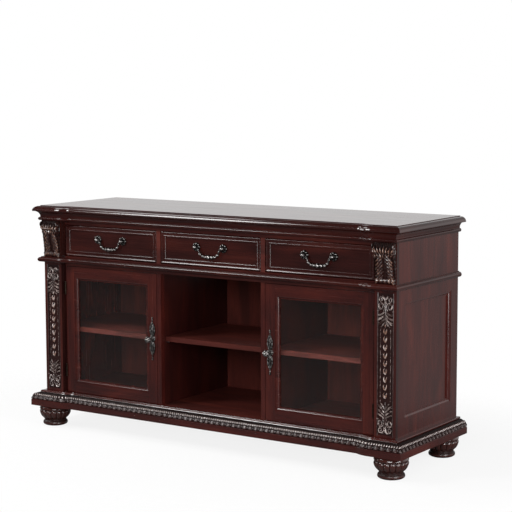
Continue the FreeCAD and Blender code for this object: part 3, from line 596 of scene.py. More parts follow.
# %% [markdown]
# ## Plinth carving
# The lower half of the plinth's round is carved with a row of slanted ticks and, below it, small leaves
# with lips and a dart between each two; ticks, lips and darts carry painted highlights and the ground
# painted shade. The carving is a strip laid over the imported moulding: its section is the moulding's own
# arc, and a relief height pushes each point out along the arc's normal. The strip follows the same
# straight, S bend and straight as the front, and ends on the mitres. Two slim beads run along the ledge
# above it, leaning back far enough to mirror the main lamp as thin bright lines.

# %% Plinth measures
OVOLO_TOP, OVOLO_LOW = 130 * MM, 102 * MM
OVOLO_START, OVOLO_END = 5 * MM, 32 * MM
OVOLO_SWELL = 0.68
PLINTH_REACH, PLINTH_SIDE_STEP = 34 * MM, 9.5 * MM
BEND_RUN = 57 * MM
CARVE_STEP = 1.0 * MM

post_low, post_high, post_middle = node_box("pilaster_right")
post_in, post_face, case_half, case_face = post_low[0], post_low[1], post_high[0], post_high[1]
plinth_line = node_box("plinth_front")[0][1] + PLINTH_REACH
plinth_half = case_half + PLINTH_SIDE_STEP
case_back = node_box("side_frame_right")[1][1]
print("plinth line at", round(plinth_line, 4), "and half width", round(plinth_half, 4))

# %% Plinth paths
def front_path():
    """Right half of the front: heading 0, then a steady bend out and back over the S, then 0 to the corner.

    A path is its points, their level outward normals, the distance along it, a growth from 0 to 1 towards
    the mitred end, and the direction in which the mitre moves what reaches further out.
    """
    turn = 2 * math.atan2(case_face - post_face, BEND_RUN)
    bend = turn * BEND_RUN / math.sin(turn)
    start = post_in - BEND_RUN
    s = np.arange(0.0, start + bend + plinth_half - post_in, CARVE_STEP)
    heading = turn * np.clip(1 - np.abs((s - start) / bend * 2 - 1), 0, 1)
    step = np.diff(s, prepend=0.0)
    middle = np.concatenate([[0.0], (heading[1:] + heading[:-1]) / 2])
    across, forward = np.cumsum(step * np.cos(middle)), np.cumsum(step * np.sin(middle))
    base = np.stack([across, case_face - (post_face - plinth_line) - forward], axis=-1)
    outward = np.stack([-np.sin(heading), -np.cos(heading)], axis=-1)
    growth = np.clip((base[:, 0] - post_in) / (plinth_half - post_in), 0, 1)
    return base, outward, s, growth, np.array([1.0, 0.0])


def side_path(side):
    """A straight side, from the front mitre to the back."""
    s = np.arange(0.0, case_back - plinth_line, CARVE_STEP)[::-1]
    base = np.stack([np.full_like(s, side * plinth_half), case_back - s], axis=-1)
    outward = np.broadcast_to([float(side), 0.0], base.shape)
    return base, outward, s, s / s.max(), np.array([0.0, -1.0])


def carry(path, reach, height):
    """Rings across a path: points that reach out by so much, at so high, and move on with the mitre."""
    base, outward, s, growth, mitre = path
    level = base[:, None, :] + reach[..., None] * outward[:, None, :]
    level = level + (growth[:, None] * reach)[..., None] * mitre
    return np.concatenate([level, height[..., None]], axis=-1)


def both_halves(rings):
    """The rings of the right half, led by their mirror images."""
    return np.concatenate([rings[:0:-1] * np.array([-1.0, 1.0, 1.0]), rings])


print("front path of", 2 * len(front_path()[0]) - 1, "points")

# %% Ledge beads
# The beads' level of painted shade and highlight leaves them mostly plain body colour
LEDGE_LEAN, LEDGE_BACK, LEDGE_SHADING = math.radians(32), 3 * MM, 0.55

# Reach, height over the floor and width of face of each bead
LEDGE_BEADS = np.array([(8.2, 130.8, 1.8), (3.5, 135.5, 2.2)]) * MM


def ledge_bead(reach, z, face):
    """A three-sided bead carried along the front: a face that leans back, and a back that slopes down."""
    back, up = face * math.sin(LEDGE_LEAN), face * math.cos(LEDGE_LEAN)
    corners = np.array([(reach, z), (reach - back, z + up), (reach - back - LEDGE_BACK, z)])
    path = front_path()
    across, height = (np.broadcast_to(corners[:, i], (len(path[0]), len(corners))) for i in (0, 1))
    return both_halves(carry(path, across, height)), LEDGE_SHADING


ledge_shells = [ledge_bead(*bead) for bead in LEDGE_BEADS]
make_piece("plinth_ledge_beads", ledge_shells, turned_cherry, crease=BEAD_CREASE)

# %% Plinth carving
LEAF_PITCH = 24 * MM
TICK_PITCH, TICK_SLANT = LEAF_PITCH / 2.5, 6 * MM
CARVE_LIFT, CARVE_SKIN, CARVE_SINK = 4.4 * MM, 0.25 * MM, 0.4 * MM
BAND_GAP = 0.3 * MM
ARC_INSET, ARC_EDGE, ARC_POINTS = 0.015, 0.06, 44

# Each mark: relief, which also sets its painted shade or highlight, half width as a share of half the
# pitch, and middle and half height on the arc
LEAF = (0.40, 0.80, 0.78, 0.15)
LIP = (0.85, 0.80, 0.88, 0.065)
DART = (0.80, 0.12, 0.79, 0.11)
TICK = (1.00, 0.75, 0.53, 0.16)


def arc_through(first, through, last, t):
    """Points and outward normals on the circle through three points, t running from 0 at the first to 1."""
    a, b, c = (np.array(p) for p in (first, through, last))
    sides = 2 * np.array([b - a, c - a])
    centre = np.linalg.solve(sides, [b @ b - a @ a, c @ c - a @ a])
    start, middle, end = (math.atan2(*(p - centre)[::-1]) for p in (a, b, c))
    turn = (middle - start + math.pi) % (2 * math.pi) - math.pi
    span = turn + (end - middle + math.pi) % (2 * math.pi) - math.pi
    angle = start + span * t
    normal = np.stack([np.cos(angle), np.sin(angle)], axis=-1)
    return centre + np.linalg.norm(a - centre) * normal, normal


def repeat(value, pitch):
    """Place in each repeat, from -1 at its start through 0 in the middle to 1 at its end."""
    return 2 * ((value / pitch) % 1 - 0.5)


def mark(shape, off, t, power=2):
    """A dome of a given relief; a higher power than 2 squares its ends."""
    relief, half_width, middle, half_height = shape
    return relief * dome((off / half_width) ** power + ((t - middle) / half_height) ** 2)


def plinth_relief(along, t):
    """Tallest of the slanted ticks, the leaves below, their lips and the darts; the tallest get painted
    highlights.
    """
    w = np.abs(repeat(along, LEAF_PITCH))
    strand = repeat(along + TICK_SLANT * t, TICK_PITCH)
    marks = [mark(LEAF, w, t), mark(LIP, w, t, 4), mark(DART, 1 - w, t), mark(TICK, strand, t)]
    return np.max(marks, axis=0)


def carved_strip(path):
    """The ovolo's arc, pushed out by the relief and carried along a path, short of the plain band below."""
    along, growth = path[2][:, None], path[3][:, None]
    t = np.linspace(ARC_INSET, 1 - ARC_INSET, ARC_POINTS)
    swell = (OVOLO_START + OVOLO_SWELL * (OVOLO_END - OVOLO_START),
             OVOLO_LOW + OVOLO_SWELL * (OVOLO_TOP - OVOLO_LOW))
    section, normal = arc_through((OVOLO_START, OVOLO_TOP), swell, (OVOLO_END, OVOLO_LOW), t)
    relief = plinth_relief(along + growth * section[None, :, 0], t[None, :])
    edge = np.clip(np.minimum(t, 1 - t) / ARC_EDGE, 0, 1)[None, :]
    lift = (CARVE_SKIN + CARVE_LIFT * relief) * edge - CARVE_SINK * (1 - edge)
    reach = np.minimum(section[None, :, 0] + lift * normal[None, :, 0], PLINTH_REACH - BAND_GAP)
    height = section[None, :, 1] + lift * normal[None, :, 1]
    return carry(path, reach, height), relief


rings, relief = carved_strip(front_path())
front_strip = (both_halves(rings), np.concatenate([relief[:0:-1], relief]))
make_piece("plinth_carving_front", [front_strip], plinth_cherry)
make_piece("plinth_carving_left", [carved_strip(side_path(-1))], plinth_cherry)
make_piece("plinth_carving_right", [carved_strip(side_path(1))], plinth_cherry)

# %% [markdown]
# ## Corbels
# Each pilaster carries a corbel: a scrolled bracket covered by a hanging acanthus leaf. A crown of flame-
# like tips stands round its head, pairs of ridged lobes fall away from a slim stem, and a rolled toe ends
# it, with a volute on either flank. A sculptor would push clay about; here the side profile gives the
# reach at each height, and a relief built from a few formulas is added to it. Each volute is a line that
# bends more and more tightly, so its heading is a quadratic in the distance along it, with a tapering
# section carried along it.

# %% Carried sections and scrolls
def round_section(sides):
    """Points of a unit circle, first across and then up."""
    angle = np.linspace(0, 2 * np.pi, sides, endpoint=False)
    return np.stack([np.cos(angle), np.sin(angle)], axis=-1)


ROUND = round_section(10)
GABLE = np.array([(1, -0.5), (1, 0.5), (0.85, 0.72), (0, 1), (-0.85, 0.72), (-1, 0.5), (-1, -0.5)])
VEINED = np.array([(1, -0.5), (1, 0.66), (0.5, 1), (0, 0.66), (-0.5, 1), (-1, 0.66), (-1, -0.5)])


def sweep(path, width, height, up, section=ROUND):
    """A section carried along a path: scaled by 'width' across it and by 'height' along 'up'."""
    along = np.gradient(path, axis=0)
    across = np.cross(along, up)
    across /= np.linalg.norm(across, axis=1, keepdims=True)
    aside = section[None, :, :1] * np.reshape(width, (-1, 1, 1)) * across[:, None, :]
    rise = section[None, :, 1:] * np.reshape(height, (-1, 1, 1)) * np.asarray(up, float)
    crest = np.broadcast_to(np.clip(section[:, 1], 0, 1), (len(path), len(section)))
    return path[:, None, :] + aside + rise, crest


def scroll_line(start, heading, length, bend_start, bend_end, count=44):
    """A flat line whose bend, in turns per metre, grows steadily: each step takes its mean heading."""
    s = np.linspace(0, length, count)
    turn = 2 * np.pi * (bend_start * s + (bend_end - bend_start) * s ** 2 / (2 * length))
    way = math.radians(heading) + turn
    ways = np.stack([np.cos(way), np.sin(way)], axis=-1)
    steps = length / (count - 1) * (ways[1:] + ways[:-1]) / 2
    return start + np.concatenate([[(0, 0)], np.cumsum(steps, axis=0)])


def scroll_taper(count):
    """Thickness along a scroll: a short swell, a slow thinning, and a small ball at the eye."""
    t = np.linspace(0, 1, count)
    body = np.clip(t / 0.3, 0.4, 1) ** 0.6 * (1 - 0.5 * np.clip((t - 0.3) / 0.7, 0, 1))
    eye = 0.95 * np.exp(-((t - 0.96) / 0.05) ** 2)
    return np.maximum(body, eye) * np.clip((1.015 - t) / 0.03, 0.1, 1)


def leaf_taper(count):
    """Thickness along a leaf: full just past its root, then thinner and thinner to a point, as a sine."""
    t = np.linspace(0, 1, count)
    return np.sin(np.pi * (0.16 + 0.80 * t ** 0.8)) ** 0.75


# %% Leaf of the corbels
LOBE_ROOTS = np.arange(40, 116, 12.5) * MM
LOBE_SLOPE = math.radians(46)
LOBE_LENGTH, LOBE_WIDTH, LOBE_RISE = 46 * MM, 4.9 * MM, 7.0 * MM
LOBE_ROUND, LEAST_WIDTH = 0.4, 0.01 * MM
STEM_TOP, STEM_LOW, STEM_RISE, STEM_GROWTH = 1 * MM, 4.5 * MM, 1.6 * MM, 20 * MM
TIP_COUNT, TIP_POINT = 6, 0.04
CROWN_RISE = (10.0 * MM, 7.5 * MM)
CROWN_ROWS = ((12 * MM, 32 * MM, 46 * MM), (33 * MM, 49 * MM, 62 * MM))
CROWN_FAN = 0.4
TOE_HEIGHT, TOE_RISE, TOE_CURLS = 20 * MM, 6.0 * MM, 5


def ridge(distance):
    """A straight-sided ridge: 1 on its line, falling evenly to 0 at a distance of 1."""
    return np.clip(1 - np.abs(distance), 0, 1)


def stem_half(down):
    """Half the width of the smooth stem, which grows steadily down the leaf."""
    return np.interp(down, LOBE_ROOTS[[0, -1]], [STEM_TOP, STEM_LOW])


def leaf_lobe(across, down, root):
    """A lobe that falls away from its root: a half ellipse along it, part round and part ridge across it.

    It rises to twice its height from root to tip.
    """
    side, below = across - stem_half(root), down - root
    along = (side * math.cos(LOBE_SLOPE) + below * math.sin(LOBE_SLOPE)) / LOBE_LENGTH
    off = below * math.cos(LOBE_SLOPE) - side * math.sin(LOBE_SLOPE)
    d = off / (LOBE_WIDTH * dome((2 * along - 1) ** 2) + LEAST_WIDTH)
    section = LOBE_ROUND * dome(d ** 2) + (1 - LOBE_ROUND) * ridge(d)
    return LOBE_RISE * section * (0.5 + 0.5 * np.clip(along, 0, 1))


def crown_tips(across, down, half, row):
    """Flame-like tips that fan out: a sharp ridge up each one, which widens downwards, then closes quickly.

    Each row stands half a tip aside from the one above it.
    """
    top, wide, foot = CROWN_ROWS[row]
    pitch = 2 * half / TIP_COUNT
    fan = across / (1 - CROWN_FAN * np.clip((down - top) / (foot - top), 0, 1))
    d = repeat(fan + half + row * pitch / 2, pitch)
    share = np.interp(down, [top, wide, foot], [TIP_POINT, 1.0, TIP_POINT])
    return CROWN_RISE[row] * ridge(d / share) * (0.35 + 0.65 * share)


def corbel_relief(across, down, half, length):
    """Height of the carving: the tallest of the lobes, the two rows of tips, the stem and the rolled toe."""
    lobes = [leaf_lobe(np.abs(across), down, root) for root in LOBE_ROOTS]
    crown = [crown_tips(across, down, half, row) for row in (0, 1)]
    growth = np.clip((down - CROWN_ROWS[1][1]) / STEM_GROWTH, 0, 1)
    stem = STEM_RISE * growth * dome((across / stem_half(down)) ** 2)
    roll = TOE_RISE * dome(((down - length + TOE_HEIGHT / 2) / (TOE_HEIGHT / 2)) ** 2)
    curls = 0.25 + 0.75 * ridge(repeat(across + half, 2 * half / TOE_CURLS))
    return np.max(lobes + crown + [stem, roll * curls], axis=0)


# %% Corbels
CORBEL_SINK, CORBEL_LEAST, CORBEL_REACH = 4.0 * MM, 1.5 * MM, 33 * MM
CORBEL_COLUMNS = 181
HEAD_HEIGHT = 34 * MM
EDGE_FALL, SCALLOP = 0.30, 0.06
CREST_HEIGHT = 8.0 * MM
SEAT = 0.5 * MM
VOLUTE_START = np.array([6, -38]) * MM
VOLUTE_HEADING, VOLUTE_LENGTH, VOLUTE_BENDS = 100, 104 * MM, (1.0, -42.0)
VOLUTE_WIDTH, VOLUTE_HEIGHT, VOLUTE_INSET, VOLUTE_SHADING = 2.4 * MM, 3.4 * MM, 1.5 * MM, 0.7

# Reach in mm at the start, middle and end of the head, shank and toe, with the rows of points on each
CORBEL_ARCS = (((24, 31, 24), 60), ((24, 12.84, 6), 130), ((6, 9, 6), 36))


def corbel_profile(low, high):
    """Reach and height down the corbel: three arcs for its head, its shank and its toe."""
    ends = (high[2], high[2] - HEAD_HEIGHT, low[2] + TOE_HEIGHT, low[2])
    rows = []
    for (reaches, count), top, foot in zip(CORBEL_ARCS, ends, ends[1:]):
        knots = zip(np.array(reaches) * MM, (top, (top + foot) / 2, foot))
        rows.append(arc_through(*knots, np.linspace(0, 1, count, endpoint=False))[0])
    return np.concatenate(rows)


def carved_corbel(low, high, middle):
    """Rings at each height: the carved front from side to side, then straight back to the pilaster."""
    profile = corbel_profile(low, high)
    down = distance_along(profile)[:, None]
    reach, z = profile[:, :1], profile[:, 1:]
    half = (high[0] - low[0]) / 2
    u = np.linspace(-1, 1, CORBEL_COLUMNS)[None, :]
    height = corbel_relief(half * u, down, half, down[-1, 0])
    front = (reach - CORBEL_SINK) * (1 - EDGE_FALL * np.abs(u) ** 6) + height
    front = np.clip(front, CORBEL_LEAST, CORBEL_REACH)
    wave = np.abs(np.sin(np.pi * (down - LOBE_ROOTS[0]) / (LOBE_ROOTS[1] - LOBE_ROOTS[0])))
    scallop = 1 - SCALLOP + SCALLOP * wave ** 0.5
    rings = np.stack([middle[0] + half * u * scallop, high[1] - front, z + 0 * u], axis=-1)
    seat = rings[:, [-1, 0]].copy()
    seat[..., 1] = high[1] + SEAT
    # Painted shade and highlights follow the carving's height: dark in the hollows, bronze on the tallest
    # parts
    crest = np.clip(height / CREST_HEIGHT, 0, 1) ** 0.6
    return np.concatenate([rings, seat], axis=1), np.pad(crest, ((0, 0), (0, 2)))


def corbel_volute(low, high, way):
    """A scroll on one flank: it rises from the shank, turns over behind the head and winds up there."""
    line = scroll_line(VOLUTE_START + (0, high[2]), VOLUTE_HEADING, VOLUTE_LENGTH, *VOLUTE_BENDS)
    flank = (high[0] if way > 0 else low[0]) - way * VOLUTE_INSET
    path = np.stack([np.full(len(line), flank), high[1] - line[:, 0], line[:, 1]], axis=-1)
    fat = scroll_taper(len(line))
    outward = np.array([float(way), 0.0, 0.0])
    rings, crest = sweep(path, VOLUTE_WIDTH * fat, VOLUTE_HEIGHT * fat, outward, GABLE)
    # Painted shade where the volute meets the flank, body colour on its ridge
    return rings, VOLUTE_SHADING * crest


for side in ("left", "right"):
    low, high, middle = node_box("corbel_" + side)
    shells = [carved_corbel(low, high, middle), corbel_volute(low, high, -1), corbel_volute(low, high, 1)]
    corbel = make_piece("carved_corbel_" + side, shells, carved_cherry)
    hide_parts("corbel_" + side)

# %% [markdown]
# ## Pilaster carving
# The sunk panel of each pilaster holds a chain of husks between two groups of acanthus scrolls, with a
# row of tiny beads on either side and a slim strip along each long edge. The lower group is the upper one
# turned over, so one list of scrolls and leaves, measured from the outer end of the group, serves both,
# on both halves of both pilasters. Scrolls and strips have a gabled section and leaves a section with a
# vein down the middle, so that they have flat facets, which catch the lamps as a chisel's cuts do.

# %% Scroll groups
OUT = np.array([0.0, -1.0, 0.0])
FIELD_DEPTH, FIELD_LIFT = 3 * MM, 0.3 * MM
SCROLL_WIDTH, SCROLL_HEIGHT = 2.4 * MM, 5.2 * MM
LEAF_WIDTH, LEAF_HEIGHT = 2.3 * MM, 4.6 * MM
GROUP_STRETCH, GROUP_SHADING = 1.15, 0.34

# Heights of the groups' outer ends over the floor, and the stem's two ends and width, in mm
GROUP_TOP, GROUP_LOW = 636.0, 142.0
STEM_START, STEM_END, STEM_FAT, STEM_POINTS = 14.0, 104.0, 2.8, 24

# Each line: start (across, in from the outer end) in mm, heading in degrees, length in mm, first and
# last bend in turns per metre, and thickness
SCROLLS = [
    ((8.6, 54.0), -132, 104, 8.6, 27.0, 1.15),
    ((2.5, 26.0), -78, 58, 4.5, 38.0, 1.10),
]
LEAVES = [
    ((2.0, 56.0), 38, 27, -2.0, -9.0, 1.15),
    ((2.0, 64.0), 47, 32, -2.0, -9.0, 1.25),
    ((2.0, 73.0), 56, 32, -2.0, -9.0, 1.25),
    ((2.0, 83.0), 66, 27, -2.0, -9.0, 1.15),
    ((13.0, 63.0), 32, 20, -3.0, -16.0, 1.0),
    ((14.0, 74.0), 40, 20, -3.0, -16.0, 1.0),
    ((13.0, 86.0), 50, 18, -3.0, -16.0, 0.95),
    ((1.0, 22.0), -70, 20, 3.0, 16.0, 1.0),
    ((5.0, 32.0), -140, 13, 6.0, 20.0, 0.9),
    ((26.0, 52.0), 20, 12, -6.0, -30.0, 0.9),
]


def on_field(line, side, mirror=1):
    """Carries (across, z) points onto a pilaster's sunk field, on its left or right half."""
    x = side * (post_middle[0] + mirror * line[:, 0])
    y = np.full(len(line), post_face + FIELD_DEPTH + FIELD_LIFT)
    return np.stack([x, y, line[:, 1]], axis=-1)


def scroll_group(outer, way, side):
    """Scrolls, leaves and stem of one group, which runs up or down from its outer end."""
    shells = []
    kinds = [(line, scroll_taper, SCROLL_WIDTH, SCROLL_HEIGHT, GABLE) for line in SCROLLS]
    kinds += [(line, leaf_taper, LEAF_WIDTH, LEAF_HEIGHT, VEINED) for line in LEAVES]
    for (start, heading, length, bend_start, bend_end, fat), taper, wide, tall, section in kinds:
        line = scroll_line(np.array(start) * MM, heading, length * MM, bend_start, bend_end)
        line = line * np.array([1, way * GROUP_STRETCH]) + np.array([0, outer * MM])
        fat = fat * taper(len(line))
        for mirror in (-1, 1):
            rings, crest = sweep(on_field(line, side, mirror), wide * fat, tall * fat, OUT, section)
            # Painted shade on the ground of scrolls and leaves, painted highlights along their ridges
            shells.append((rings, GROUP_SHADING + (1 - GROUP_SHADING) * crest ** 6))
    heights = outer + way * GROUP_STRETCH * np.linspace(STEM_START, STEM_END, STEM_POINTS)
    line = np.stack([np.zeros(STEM_POINTS), heights], axis=-1) * MM
    fat = STEM_FAT * MM * (0.4 + 0.6 * np.sin(np.linspace(0.1, np.pi - 0.1, STEM_POINTS)))
    rings, crest = sweep(on_field(line, side), fat, 2.0 * fat, OUT, GABLE)
    return shells + [(rings, 0.6 * crest)]


# %% Husks, beads and strips
# Places and sizes in mm; each petal is its start, its end, its bow, its width and its height
HEART = ((0, -11.0), (0, 2.0), 0, 2.8, 6.0)
PETAL = ((0.3, -11.5), (4.4, 9.0), 2.8, 2.8, 6.4)
BUD = ((0, -6.0), (0, 6.0), 0, 3.4, 6.0)
PETAL_POINTS = 11
HUSK_COUNT, HUSK_TOP, HUSK_PITCH = 9, 506.0, 27.5
BUD_Z = 525.0
BEAD_OFFSET, BEAD_PITCH, BEAD_TOP, BEAD_LOW = 19.5, 4.6, 524.0, 262.0
BEAD_RADIUS, BEAD_RINGS, BEAD_SECTION = 1.5, 5, round_section(6)
EDGE_OFFSET, EDGE_WIDTH, EDGE_HEIGHT, EDGE_SHADING = 30.2, 2.0, 4.2, 0.4


def petal(shape, z, side, mirror=1):
    """A leaf from one point to another, bowed as a parabola, fat in the middle and pointed at its end."""
    start, end, bow, width, height = shape
    start, end = ((np.array(point) + np.array([0, z])) * MM for point in (start, end))
    t = np.linspace(0, 1, PETAL_POINTS)[:, None]
    line = start + (end - start) * t + np.array([bow * MM, 0.0]) * 4 * t * (1 - t)
    fat = np.sin(np.pi * np.clip(0.12 + 0.86 * t[:, 0], 0, 1)) ** 0.7
    return sweep(on_field(line, side, mirror), width * MM * fat, height * MM * fat, OUT)


def husk_chain(side):
    """A bud and, below it at equal steps, the husks: a heart between two fat petals that flare up."""
    shells = [petal(BUD, BUD_Z, side)]
    for i in range(HUSK_COUNT):
        z = HUSK_TOP - HUSK_PITCH * i
        shells += [petal(HEART, z, side), petal(PETAL, z, side, -1), petal(PETAL, z, side, 1)]
    return shells


def beads(side):
    """Two straight rows of small beads: a few short rings each, all copies of one bead."""
    up = np.linspace(-BEAD_RADIUS, BEAD_RADIUS, BEAD_RINGS)
    bead_line = np.stack([0 * up, up], axis=-1) * MM
    fat = BEAD_RADIUS * MM * dome(np.linspace(-0.97, 0.97, BEAD_RINGS) ** 2)
    shells = []
    for mirror in (-1, 1):
        for height in np.arange(BEAD_LOW, BEAD_TOP, BEAD_PITCH):
            line = bead_line + np.array([BEAD_OFFSET, height]) * MM
            shells.append(sweep(on_field(line, side, mirror), fat, 1.2 * fat, OUT, BEAD_SECTION))
    return shells


def edge_strips(side):
    """A slim gabled strip along each long edge of the sunk panel."""
    line = np.array([(EDGE_OFFSET, GROUP_LOW), (EDGE_OFFSET, GROUP_TOP)]) * MM
    strips = [sweep(on_field(line, side, mirror), EDGE_WIDTH * MM, EDGE_HEIGHT * MM, OUT, GABLE)
              for mirror in (-1, 1)]
    # Painted shade on the edge strips, a little darker than the body colour
    return [(rings, EDGE_SHADING * crest) for rings, crest in strips]


for side_name, side in (("left", -1), ("right", 1)):
    groups = scroll_group(GROUP_TOP, -1, side) + scroll_group(GROUP_LOW, 1, side)
    make_piece("pilaster_carving_" + side_name, groups + beads(side) + edge_strips(side), pilaster_cherry)
    make_piece("husk_chain_" + side_name, husk_chain(side), carved_cherry)

# %% [markdown]
# ## Drawer pulls
# Every drawer has two cast flower rosettes with a post in the middle of each, and a bail that swings on
# the posts: a swag that leaves the posts inwards, hangs down and meets in a grip of leafy balls. A
# rosette is rings of growing radius whose edge is drawn in between the petals; the bail is a round
# section carried along a smooth line, its radius swelling at the balls and leaves.

# %% Rosettes
PULL_SPREAD = 60 * MM
FLOWER_SIDES = 96

# Radius and forward reach in mm, and how petalled, from the middle of the front to the back
ROSETTE = np.array([(0.4, 19.8, 0), (2.4, 19.4, 0), (4.4, 18.0, 0), (5.6, 15.6, 0), (5.8, 13.5, 0),
                    (5.8, 8.0, 0), (6.4, 5.6, 0.1), (7.4, 4.2, 0.2), (8.2, 2.8, 0.4), (9.0, 3.0, 0.7),
                    (10.2, 5.2, 1), (12.2, 7.2, 1), (14.2, 6.8, 1), (15.8, 4.6, 1), (16.4, 1.8, 1),
                    (16.3, 0.0, 1), (15.4, -0.3, 1)]) * (MM, MM, 1)


def flower(centre, profile, petals, notch, groove):
    """Rings about the front-back axis, whose radius and reach follow the profile.

    Between petals the radius is drawn in by 'notch' of itself and the face sinks by 'groove'.
    """
    radius, forward, shaped = (profile[:, i:i + 1] for i in range(3))
    angle = np.linspace(0, 2 * np.pi, FLOWER_SIDES, endpoint=False)[None, :]
    valley = 1 - np.abs(np.cos(petals * angle / 2)) ** 0.55
    r = radius * (1 - notch * shaped * valley)
    y = centre[1] - forward + groove * shaped * valley
    rings = np.stack([centre[0] + r * np.cos(angle), y, centre[2] + r * np.sin(angle)], axis=-1)
    rim = np.clip(forward / forward.max(), 0, 1)
    return rings, np.clip(1 - 1.5 * valley * shaped, 0, 1) * (0.35 + 0.65 * rim ** 0.5)


print("a rosette reaches", ROSETTE[:, 1].max(), "forward and is", 2 * ROSETTE[:, 0].max(), "across")

# %% Bails, and the drawer pulls
BAIL_HALF = np.array([(0, -34.3), (12, -34), (23, -33.2), (32, -30.5), (39, -24.5), (43.5, -17),
                      (46.5, -9.5), (49.5, -3.6), (54, -0.4), (61, 0), (67, 0)]) * MM
BAIL_KNOTS = np.concatenate([BAIL_HALF[:0:-1] * (-1, 1), BAIL_HALF])
BAIL_POINTS, BAIL_SECTION = 240, round_section(14)
BAIL_WIRE, BAIL_END, BAIL_POST = 2.5 * MM, 2.4 * MM, 51 * MM
BAIL_WEAR = 0.40

# Distance from the middle along the line, half length and radius of each swelling, in mm
BAIL_SWELLS = ((0, 6.5, 9.0), (14.5, 5.6, 7.4), (27.0, 5.0, 6.2), (40.0, 5.8, 5.4), (57.0, 4.0, 4.2))


def bail_shell(axis):
    """A round wire along a smooth line; its radius is the largest of the wire's and its swellings'."""
    line = smooth_curve(BAIL_KNOTS, BAIL_POINTS)
    path = np.stack([axis[0] + line[:, 0], np.full(len(line), axis[1]), axis[2] + line[:, 1]], axis=-1)
    s = distance_along(line)
    off = np.abs(s - s[-1] / 2)
    swells = [fat * MM * dome(((off - place * MM) / (half * MM)) ** 2) for place, half, fat in BAIL_SWELLS]
    wire = np.where(np.abs(line[:, 0]) < BAIL_POST, BAIL_WIRE, BAIL_END)
    radius = np.max([wire] + swells, axis=0)
    rings, crest = sweep(path, radius, radius, OUT, BAIL_SECTION)
    return rings, BAIL_WEAR + (1 - BAIL_WEAR) * crest * (radius / radius.max())[:, None] ** 0.7


for bay in ("left", "centre", "right"):
    _, high, middle = node_box("drawer_pull_mounts_" + bay)
    centres = [(middle[0] + i * PULL_SPREAD, high[1], middle[2]) for i in (-1, 1)]
    flowers = [flower(centre, ROSETTE, petals=8, notch=0.12, groove=1.8 * MM) for centre in centres]
    mounts = make_piece("pull_rosettes_" + bay, flowers, antique_metal, "drawer_" + bay,
                        SMOOTH_CREASE)
    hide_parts("drawer_pull_mounts_" + bay)
    axis = np.array([middle[0], node_box("drawer_bail_" + bay)[2][1], middle[2]])
    swing = make_piece("bail_" + bay, [bail_shell(axis)], antique_metal, "bail_" + bay,
                       SMOOTH_CREASE)
    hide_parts("drawer_bail_" + bay)

# %% [markdown]
# ## Door pulls
# Each door carries a tall pierced plate: two open loops of leaves, one above and one below a flower boss,
# with ball finials at the ends and a flower knob on a neck in the middle. Loops, leaves and stems are
# carried sections, and boss and knob are flowers.

# %% Door pulls
BOSS = np.array([(0.4, 6.0, 0), (3.0, 5.8, 0), (5.0, 4.6, 0.2), (6.0, 3.0, 0.6), (8.0, 4.0, 1),
                 (10.5, 3.6, 1), (12.2, 2.0, 1), (12.8, 0.4, 1), (12.2, -0.3, 1)]) * (MM, MM, 1)
KNOB = np.array([(0.4, 41.0, 0), (2.2, 40.6, 0), (3.6, 39.4, 0.2), (4.4, 37.6, 0.6), (6.5, 38.2, 1),
                 (9.0, 37.0, 1), (11.4, 34.4, 1), (12.9, 31.0, 1), (12.6, 27.6, 1), (10.2, 24.6, 0.8),
                 (7.0, 22.4, 0.4), (4.8, 20.0, 0), (4.2, 14.0, 0), (4.8, 9.0, 0), (6.2, 5.0, 0),
                 (6.4, 3.0, 0)]) * (MM, MM, 1)
PLATE_FORWARD = 1.6 * MM
PLATE_WEAR = 0.70

# Places and sizes in mm from the plate's middle: knots of an arm, root and heading of each leaf, ends
# of the stem, and place and radius of each ball
LOOP_KNOTS = np.array([(2.5, 10), (6.0, 16), (9.2, 26), (9.6, 36), (7.2, 47), (3.4, 55), (1.0, 60)])
LOOP_LEAVES = [((5.2, 13.0), 40), ((8.6, 23.0), 62), ((9.0, 34.0), 82), ((7.0, 45.0), 112)]
ARM_POINTS, ARM_LEAST, ARM_SWELL = 40, 2.3, 1.2
LOOP_LEAF_LENGTH, LOOP_LEAF_BENDS, LOOP_LEAF_POINTS = 9.5, (8.0, 30.0), 14
LOOP_LEAF_WIDTH, LOOP_LEAF_HEIGHT = 2.0, 2.6
PLATE_STEM, PLATE_STEM_POINTS, PLATE_STEM_WIDTH, PLATE_STEM_HEIGHT = (13, 54), 20, 4.2, 3.4
FINIAL_SPAN, FINIAL_POINTS, FINIAL_TIP, FINIAL_WIRE = (52, 82), 60, 81.6, 1.5
FINIALS = {1: [(60.0, 3.0), (66.5, 2.2), (72.5, 2.8), (78.2, 3.6)],
           -1: [(60.0, 3.0), (66.0, 2.4), (71.0, 3.2), (77.6, 4.2)]}


